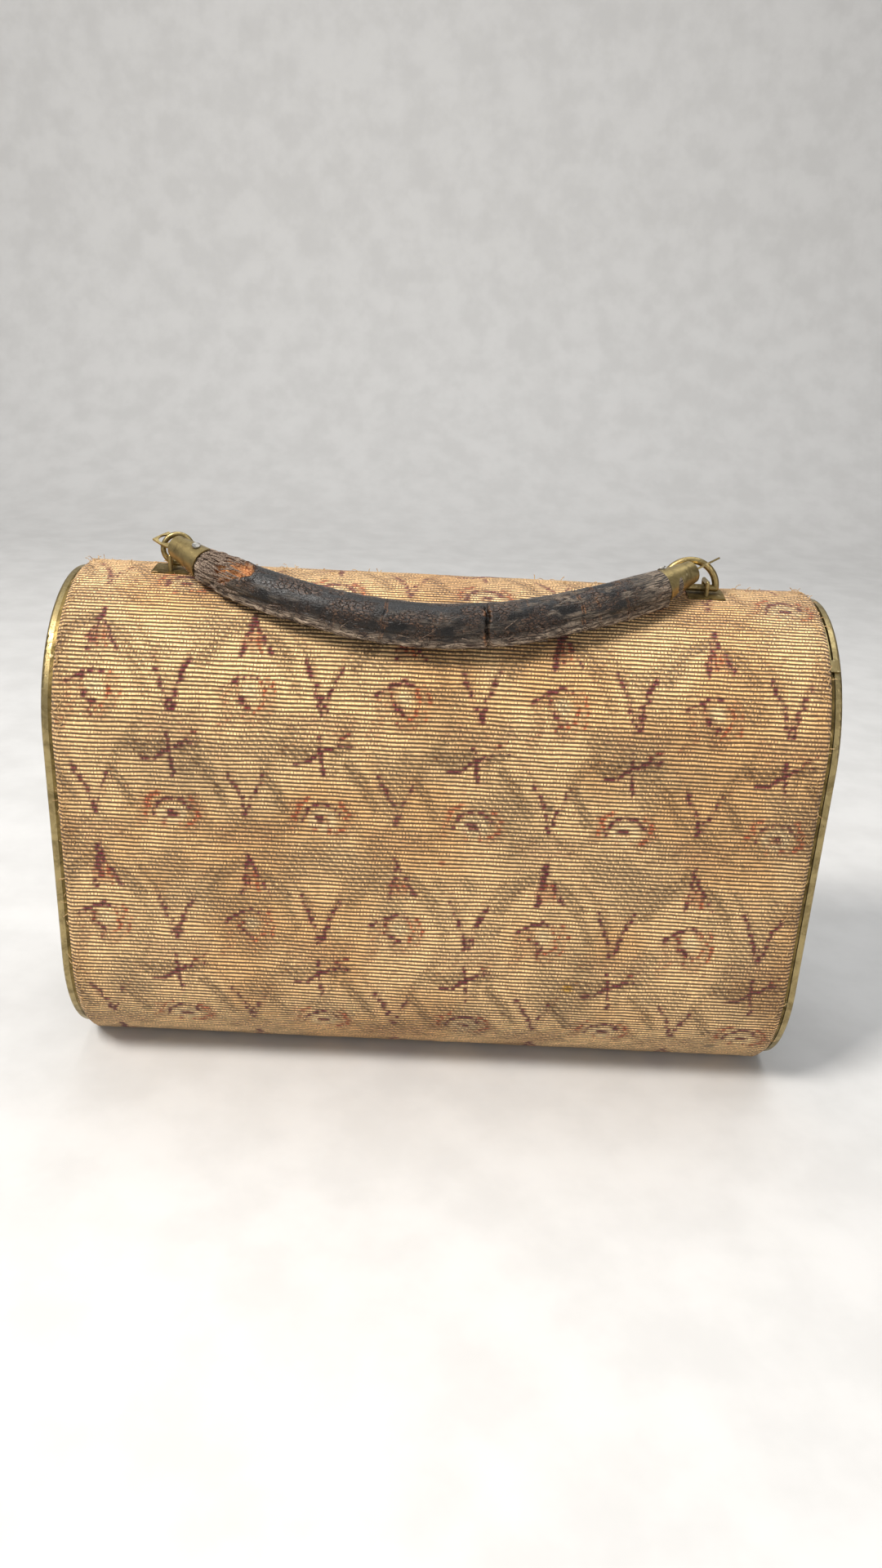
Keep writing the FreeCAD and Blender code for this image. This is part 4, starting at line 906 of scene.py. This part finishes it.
# -------- end sheets and lining
# (piece, node it replaces, body, inset from the cover, facing, fold, material, slot)
END_SHEETS = (
    ("end_leather", "end_leather_left", "case", 0.00405, -1, 0.0004, END_LEATHER, "leather"),
    ("end_silk", "end_lining_left", "case", 0.0046, 1, 0.0, SILK, "silk"),
    ("lid_skin", "lid_leather", "lid", 0.00505, 1, 0.0002, END_LEATHER, "leather"),
    ("lid_silk", "lid_lining", "lid", 0.00505, -1, 0.0, SILK, "silk"),
)
# Rings of points from the edge of an end sheet inward, as shares of its outline.
FACE_RINGS = (1.0, 0.995, 0.985, 0.96, 0.92, 0.85, 0.75, 0.62, 0.48, 0.34, 0.2, 0.08)


def thicken(thing, thickness):
    """Gives a sheet its thickness, inward from its face."""
    solid = thing.modifiers.new("thickness", "SOLIDIFY")
    solid.thickness = thickness
    solid.offset = -1


def stadium_face(name, node, body, inset, facing, fold, material, slot_name):
    """A sheet on one side of an end panel, with a softly turned edge."""
    low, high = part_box(node)
    at_x = high.x if facing > 0 else low.x
    count = 160
    s = np.arange(count) * ROUND / count
    y, z, _, _ = section(s, inset)
    middle = (CAD_LOW.z + COVER_HIGH.z) / 2
    rings = []
    for share in FACE_RINGS:
        yy = y * share
        zz = middle + (z - middle) * share
        rise = fold * min(1.0, (1 - share) / 0.02)
        puff = 0.00016 * (cloud(yy * 60, zz * 60, 141) - 0.5) * (share < 0.98)
        xx = np.full(count, at_x) + facing * (rise - fold) + facing * puff
        rings.append(np.stack([xx, yy, zz], 1))
    points = np.concatenate(rings)
    faces = grid_faces(len(FACE_RINGS), count, wrap_columns=True)
    start = (len(FACE_RINGS) - 1) * count
    faces.append([start + k for k in range(count)])
    if facing > 0:
        faces = [list(reversed(face)) for face in faces]
    thing = add_mesh(name, points, faces)
    set_flat(thing, points[corners(thing), 1:3])
    wear(thing, material)
    thicken(thing, float(high.x - low.x))
    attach(thing, body)
    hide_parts(node)
    area = abs(float(np.sum(y * np.roll(z, -1) - np.roll(y, -1) * z)) / 2)


def make_lining():
    """Silk glued inside the barrel, with slight slack between the glue lines."""
    low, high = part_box("lining")
    rows, columns = 200, 80
    s = np.arange(rows) * ROUND / rows
    x = np.linspace(low.x, high.x, columns)
    x_grid, s_grid = np.meshgrid(x, s)
    slack = 0.0003 * cloud(x_grid * 120, s_grid * 60, 151)
    y, z, ny, nz = section(s, LINING_IN)
    y, z = y[:, None] - ny[:, None] * slack, z[:, None] - nz[:, None] * slack
    points = np.stack([x_grid, y, z], 2)
    faces = grid_faces(rows, columns, wrap_rows=True)
    thing = add_mesh("lining_silk", points.reshape(-1, 3), faces)
    thicken(thing, LINING_THICK)
    wear(thing, SILK)
    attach(thing, "case")
    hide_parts("lining")


# -------- the handle
def grip_line(count=400):
    """Middle line of the handle from eye to eye, laid over the rounded top."""
    middle = (EYE_RIGHT.x + EYE_LEFT.x) / 2
    half_chord = (EYE_RIGHT.x - EYE_LEFT.x) / 2
    rest = RADIUS + GRIP_MIDDLE
    eye_angle = math.atan2(-EYE_LEFT.y, rest)
    sag = rest * (GRIP_LIE - eye_angle)
    bend = (half_chord ** 2 + sag ** 2) / (2 * sag)
    spread = math.asin(half_chord / bend)
    rise = math.hypot(EYE_LEFT.z - HIGH_CENTRE, EYE_LEFT.y) - RADIUS - GRIP_LIFT - GRIP_END
    share = np.linspace(0, 1, count)
    turn = spread * (2 * share - 1)
    along = middle + bend * np.sin(turn)
    angle = eye_angle + (sag - bend * (1 - np.cos(turn))) / rest
    swelling = np.clip(np.sin(math.pi * share), 0, 1) ** 0.6
    height = RADIUS + GRIP_LIFT + GRIP_END + (GRIP_MIDDLE - GRIP_END) * swelling
    run = 2 * spread * bend
    for gone in (share * run, (1 - share) * run):
        height = height + rise * np.clip(1 - gone / RISE_RUN, 0, 1) ** 2
    return np.stack([along, -height * np.sin(angle), HIGH_CENTRE + height * np.cos(angle)], 1)


LINE = grip_line()
LINE_RUN = np.concatenate([[0], np.cumsum(np.linalg.norm(np.diff(LINE, axis=0), axis=1))])


def along_line(distance):
    """Points on the handle's middle line and its directions there."""
    distance = np.atleast_1d(distance)
    point = np.stack([np.interp(distance, LINE_RUN, LINE[:, k]) for k in range(3)], 1)
    ahead = np.stack([np.interp(distance + 0.002, LINE_RUN, LINE[:, k]) for k in range(3)], 1)
    behind = np.stack([np.interp(distance - 0.002, LINE_RUN, LINE[:, k]) for k in range(3)], 1)
    way = ahead - behind
    return point, way / np.linalg.norm(way, axis=1)[:, None]


def ring_frame(way):
    """Two directions across the handle: towards the viewer's side and upwards."""
    down = np.array([0.0, -0.72, -0.69])
    first = down - way * (way @ down)[:, None]
    first /= np.linalg.norm(first, axis=1)[:, None]
    return first, np.cross(way, first)


def make_grip():
    """Leather tube over its cord: cracked across, split, seamed below and torn at the left."""
    total = LINE_RUN[-1]
    begin = TAB_LEFT + SOCKET_LONG - SOCKET_HIDES
    finish = total - TAB_RIGHT - SOCKET_LONG + SOCKET_HIDES
    rows = 620
    sides = 132
    distance = np.linspace(begin, finish, rows)
    centre, way = along_line(distance)
    first, second = ring_frame(way)
    turn = np.arange(sides) * 2 * math.pi / sides
    share = (distance - begin) / (finish - begin)
    swelling = np.clip(np.sin(math.pi * share), 0, 1) ** 0.6
    radius = GRIP_END + (GRIP_MIDDLE - GRIP_END) * swelling - 0.0001
    # Inside the sockets the leather is drawn thin.
    socket = step(0.0062, 0.005, distance - begin) + step(0.0062, 0.005, finish - distance)
    radius = radius - 0.0009 * socket

    d, t = np.meshgrid(distance * MM, turn, indexing="ij")
    # Angle from the seam, folded to 0..pi and signed.
    side = np.where(t > math.pi, t - 2 * math.pi, t)
    arc = side * radius[:, None] * MM
    mm = d - begin * MM
    long = (finish - begin) * MM
    wave = cloud(mm / 9, arc / 6, 161) - 0.5
    lift = 0.0003 * wave + 0.0001 * (cloud(mm / 2.2, arc / 1.6, 171) - 0.5)

    # The stitched seam stands up along the underside and has frayed.
    seam_wave = 0.1 * np.sin(mm / 11) + 0.25 * (cloud(mm / 7, 0 * mm, 181) - 0.5)
    seam = np.exp(-((side - seam_wave) / 0.24) ** 2)
    ragged = 0.45 + 0.9 * cloud(mm / 1.3, arc / 0.8, 191)
    lift = lift + 0.001 * seam * ragged
    groove = np.exp(-((np.abs(side - seam_wave) - 0.5) / 0.09) ** 2)
    lift = lift - 0.0003 * groove

    torn = np.clip(seam * 1.1 * step(0.25, 0.6, cloud(mm / 3, arc / 1.2, 201) + 0.1), 0, 1)
    worn = 0.16 * step(0.58, 0.74, cloud(mm / 12, arc / 5, 211))
    raw = np.zeros_like(mm)

    # Cracks across the grip: (share of its length, width mm, depth mm, tan edge, from, to).
    cracks = ((0.42, 0.4, 0.3, 0.42, -2.6, 1.2), (0.605, 1.05, 1.6, 0.5, -1.9, 0.35),
              (0.78, 0.45, 0.4, 0.55, -2.8, 0.6), (0.33, 0.25, 0.18, 0.2, -2.2, 0.2),
              (0.52, 0.22, 0.16, 0.2, -2.6, -0.6), (0.81, 0.3, 0.22, 0.35, -2.9, 0.1),
              (0.865, 0.3, 0.22, 0.35, -2.9, 0.2), (0.68, 0.2, 0.14, 0.2, -2.7, -0.5))
    for number, (where, wide, deep, tan, from_turn, to_turn) in enumerate(cracks):
        path = where * long + 2.2 * (cloud(side * 1.4 + 7 * number, 0 * side, 221) - 0.5)
        path = path + 0.7 * (cloud(side * 6 + 3 * number, 0 * side, 231) - 0.5)
        far = np.abs(mm - path)
        within = step(from_turn - 0.3, from_turn + 0.3, side)
        within *= step(to_turn + 0.3, to_turn - 0.2, side)
        cleft = np.exp(-(far / (wide * 0.5)) ** 2) * within
        lips = np.exp(-((far - wide * 0.9) / (wide * 0.35)) ** 2) * within
        lips = lips * step(0.38, 0.62, cloud(mm / 2, arc / 1.6, 245 + number))
        lift = lift - 0.001 * deep * cleft + 0.00014 * lips
        raw = np.maximum(raw, tan * lips * (0.4 + 0.7 * cloud(mm / 1.2, arc / 1.2, 241)))

    # The left end has lost its skin: shredded fibres, then a bite down to the core.
    shred_end = 12 + 7 * cloud(side * 2.2, 0 * side, 251)
    shredded = step(shred_end + 1.5, shred_end - 1.5, mm)
    lift = lift - 0.00125 * shredded + 0.001 * shredded * (cloud(mm / 6, arc / 0.8, 261) - 0.3)
    torn = np.maximum(torn, shredded)
    gnaw = 1.6 * (cloud(mm / 1.6, arc / 1.6, 321) - 0.5)
    bite = step(4.6, 3.2, np.hypot((mm - 19.5) / 1.6, (arc + 11.0) / 1.1) + gnaw)
    bite = np.maximum(bite, step(3.4, 2.2, np.hypot((mm - 16.5) / 1.2, arc + 6.0) + gnaw))
    lift = lift - 0.0023 * bite * (0.7 + 0.5 * cloud(mm / 1.5, arc / 1.5, 271))
    raw = np.maximum(raw, bite)
    torn = torn * (1 - bite)
    rim = step(7.4, 5.4, np.hypot((mm - 19) / 1.4, arc + 10.0)) * (1 - bite)
    lift = lift + 0.0007 * rim * cloud(mm / 2, arc / 2, 281)
    # Pale scuffs by the right ferrule, and over the right-hand third.
    worn = np.maximum(worn, step(24, 6, long - mm) * (0.35 + 0.8 * cloud(mm / 3, arc / 2, 291)))
    worn = np.maximum(worn, 0.5 * step(0.62, 0.74, share[:, None] + 0 * mm)
                      * step(0.5, 0.66, cloud(mm / 5, arc / 2, 301)))
    worn = np.maximum(worn, 0.8 * np.exp(-((side - seam_wave) / 0.3) ** 2)
                      * step(0.4, 0.6, cloud(mm / 4, arc / 1.5, 311)))

    out = first[:, None] * np.cos(t)[..., None] + second[:, None] * np.sin(t)[..., None]
    surface = radius[:, None] + lift * (1 - 0.6 * socket[:, None])
    points = centre[:, None] + out * surface[..., None]
    thing = add_mesh("grip_skin", points.reshape(-1, 3), tube_faces(rows, sides))
    flat = np.stack([distance[:, None] + 0 * t, (arc + ARC_MARGIN) / MM], 2).reshape(-1, 2)
    set_flat(thing, flat[corners(thing)])
    marks = np.stack([np.clip(torn, 0, 1), np.clip(worn, 0, 1), np.clip(raw, 0, 1)], 2)
    set_colour(thing, "marks", marks.reshape(-1, 3))
    wear(thing, HANDLE)
    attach(thing, "handle")
    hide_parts("grip_leather")
    return begin, finish, radius


def make_shreds(begin, finish, radius):
    """Strips of leather and fibre that stand off the torn end and the seam."""
    parts = []
    for number in range(300):
        at_end = number % 5 < 3
        start = begin + (0.006 + 0.013 * random.random() if at_end
                         else 0.012 + (finish - begin - 0.022) * random.random())
        turn = random.uniform(-math.pi, math.pi) if at_end else random.normal() * 0.26
        reach = random.uniform(0.004, 0.009) if at_end else random.uniform(0.0015, 0.0045)
        stations = np.linspace(start, min(start + reach, finish - 0.006), 7)
        centre, way = along_line(stations)
        first, second = ring_frame(way)
        share = np.linspace(0, 1, 7)
        if at_end:
            stand = -0.0006 + 0.0008 * np.sin(math.pi * share) * random.random()
        else:
            stand = 0.0002 + 0.0006 * share * random.random()
        bent = turn + random.normal() * 0.22 * share
        size = np.interp(stations, np.linspace(begin, finish, len(radius)), radius) + stand
        out = first * np.cos(bent)[:, None] + second * np.sin(bent)[:, None]
        line = centre + out * size[:, None]
        thick = (0.0003 if at_end else 0.00018) * (0.5 + random.random())
        parts.append(tube(line, thick * (1 - 0.75 * share), 5))
    thing = join_parts("torn_fibres", parts)
    wear(thing, SHREDS)
    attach(thing, "handle")


# -------- finishes of the CAD nodes
def finish_nodes():
    """The listed CAD nodes are given their finishes, and the brass ones softly broken edges."""
    finishes = {
        BRASS: ("end_frame_left", "lid_frame", "mouth_ring_right", "catch_tab", "catch_stud",
                "hinge_leaf_fixed", "hinge_leaf_lid"),
        BRASS_DARK: ("clamp_strip_left", "clamp_strip_right", "staple_seat_left",
                     "staple_seat_right", "clinch_plate_left", "clinch_plate_right"),
        BRASS_DULL: ("ferrule_left", "ferrule_right", "ring_left", "ring_right", "staple_left",
                     "staple_right"),
        STEEL: ("ferrule_rivets", "hinge_pin", "hinge_rivets", "frame_pins_left",
                "mouth_pins_right"),
        BOARD: ("body_shell", "end_board_left", "lid_board"),
        WOOD: ("mouth_board_right",),
        CORD: ("grip_core",),
    }
    for material, names in finishes.items():
        for name in names:
            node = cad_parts[name]
            wear(node, material)
            if material in (BRASS, BRASS_DULL, BRASS_DARK):
                edge = node.modifiers.new("broken_edges", "BEVEL")
                edge.width = 0.00012
                edge.segments = 2
                edge.limit_method = "ANGLE"
                edge.angle_limit = math.radians(40)


# -------- floor, light and camera
def make_stage():
    """Pale floor that curves up into a pale wall."""
    profile = [(-4.0, 0.0), (0.9, 0.0)]
    for k in range(1, 9):
        turn = k / 8 * math.pi / 2
        profile.append((0.9 + 0.35 * math.sin(turn), 0.35 * (1 - math.cos(turn))))
    profile.append((1.25, 3.0))
    points = [(x, y, z) for x in (-4.0, 4.0) for y, z in profile]
    count = len(profile)
    faces = [[k, k + 1, count + k + 1, count + k] for k in range(count - 1)]
    floor = add_mesh("floor", [Vector(p) - Vector((0, 0, 0.0001)) for p in points], faces)
    n = Nodes("pale_floor")
    place = n.coords()
    speck = n.noise(place, 30.0, 4.0)
    colour = n.mix(n.remap(speck, 0.3, 0.7), (0.6, 0.59, 0.575, 1), (0.66, 0.65, 0.635, 1))
    wear(floor, n.finish(colour, 0.7, n.bump(speck, 0.0004, 0.2)))


def make_light(name, place, target, power, wide, high, colour=(1, 1, 1)):
    """A soft lamp that looks at its target."""
    lamp = bpy.data.lights.new(name, "AREA")
    lamp.shape = "RECTANGLE"
    lamp.size, lamp.size_y = wide, high
    lamp.energy = power
    lamp.color = colour
    thing = bpy.data.objects.new(name, lamp)
    thing.location = place
    thing.rotation_euler = (Vector(target) - Vector(place)).to_track_quat("-Z", "Y").to_euler()
    bpy.context.scene.collection.objects.link(thing)


def make_lights():
    world = bpy.data.worlds.new("studio")
    world.use_nodes = True
    world.node_tree.nodes["Background"].inputs[0].default_value = (0.92, 0.94, 0.97, 1)
    world.node_tree.nodes["Background"].inputs[1].default_value = 0.38
    bpy.context.scene.world = world
    make_light("window", (-0.6, -0.5, 1.05), (0, 0, 0.09), 17.0, 0.35, 0.35, (1.0, 0.97, 0.93))
    make_light("fill", (0.9, -0.9, 0.5), (0, 0, 0.08), 3.6, 0.7, 0.7, (1.0, 0.97, 0.93))
    make_light("over", (0.1, 0.25, 1.1), (0, 0, 0.1), 6.0, 0.9, 0.6, (0.95, 0.98, 1.0))


def make_camera():
    data = bpy.data.cameras.new("camera")
    data.sensor_fit = "AUTO"
    data.sensor_width = 36.0
    data.lens = CAMERA_LENS
    thing = bpy.data.objects.new("camera", data)
    bpy.context.scene.collection.objects.link(thing)
    back = Vector((0, -math.cos(CAMERA_PITCH), math.sin(CAMERA_PITCH)))
    level = Vector((1, 0, 0))
    upward = back.cross(level)
    right = level * math.cos(CAMERA_ROLL) + upward * math.sin(CAMERA_ROLL)
    upright = back.cross(right)
    matrix = thing.matrix_world.copy()
    for column, axis in enumerate((right, upright, back, CAMERA_PLACE)):
        for row in range(3):
            matrix[row][column] = axis[row]
    thing.matrix_world = matrix
    bpy.context.scene.camera = thing


make_tapestry()
make_fuzz()
make_lining()
for end_sheet in END_SHEETS:
    stadium_face(*end_sheet)
make_shreds(*make_grip())
finish_nodes()
make_stage()
make_lights()
make_camera()
bpy.context.scene.view_settings.view_transform = "Standard"
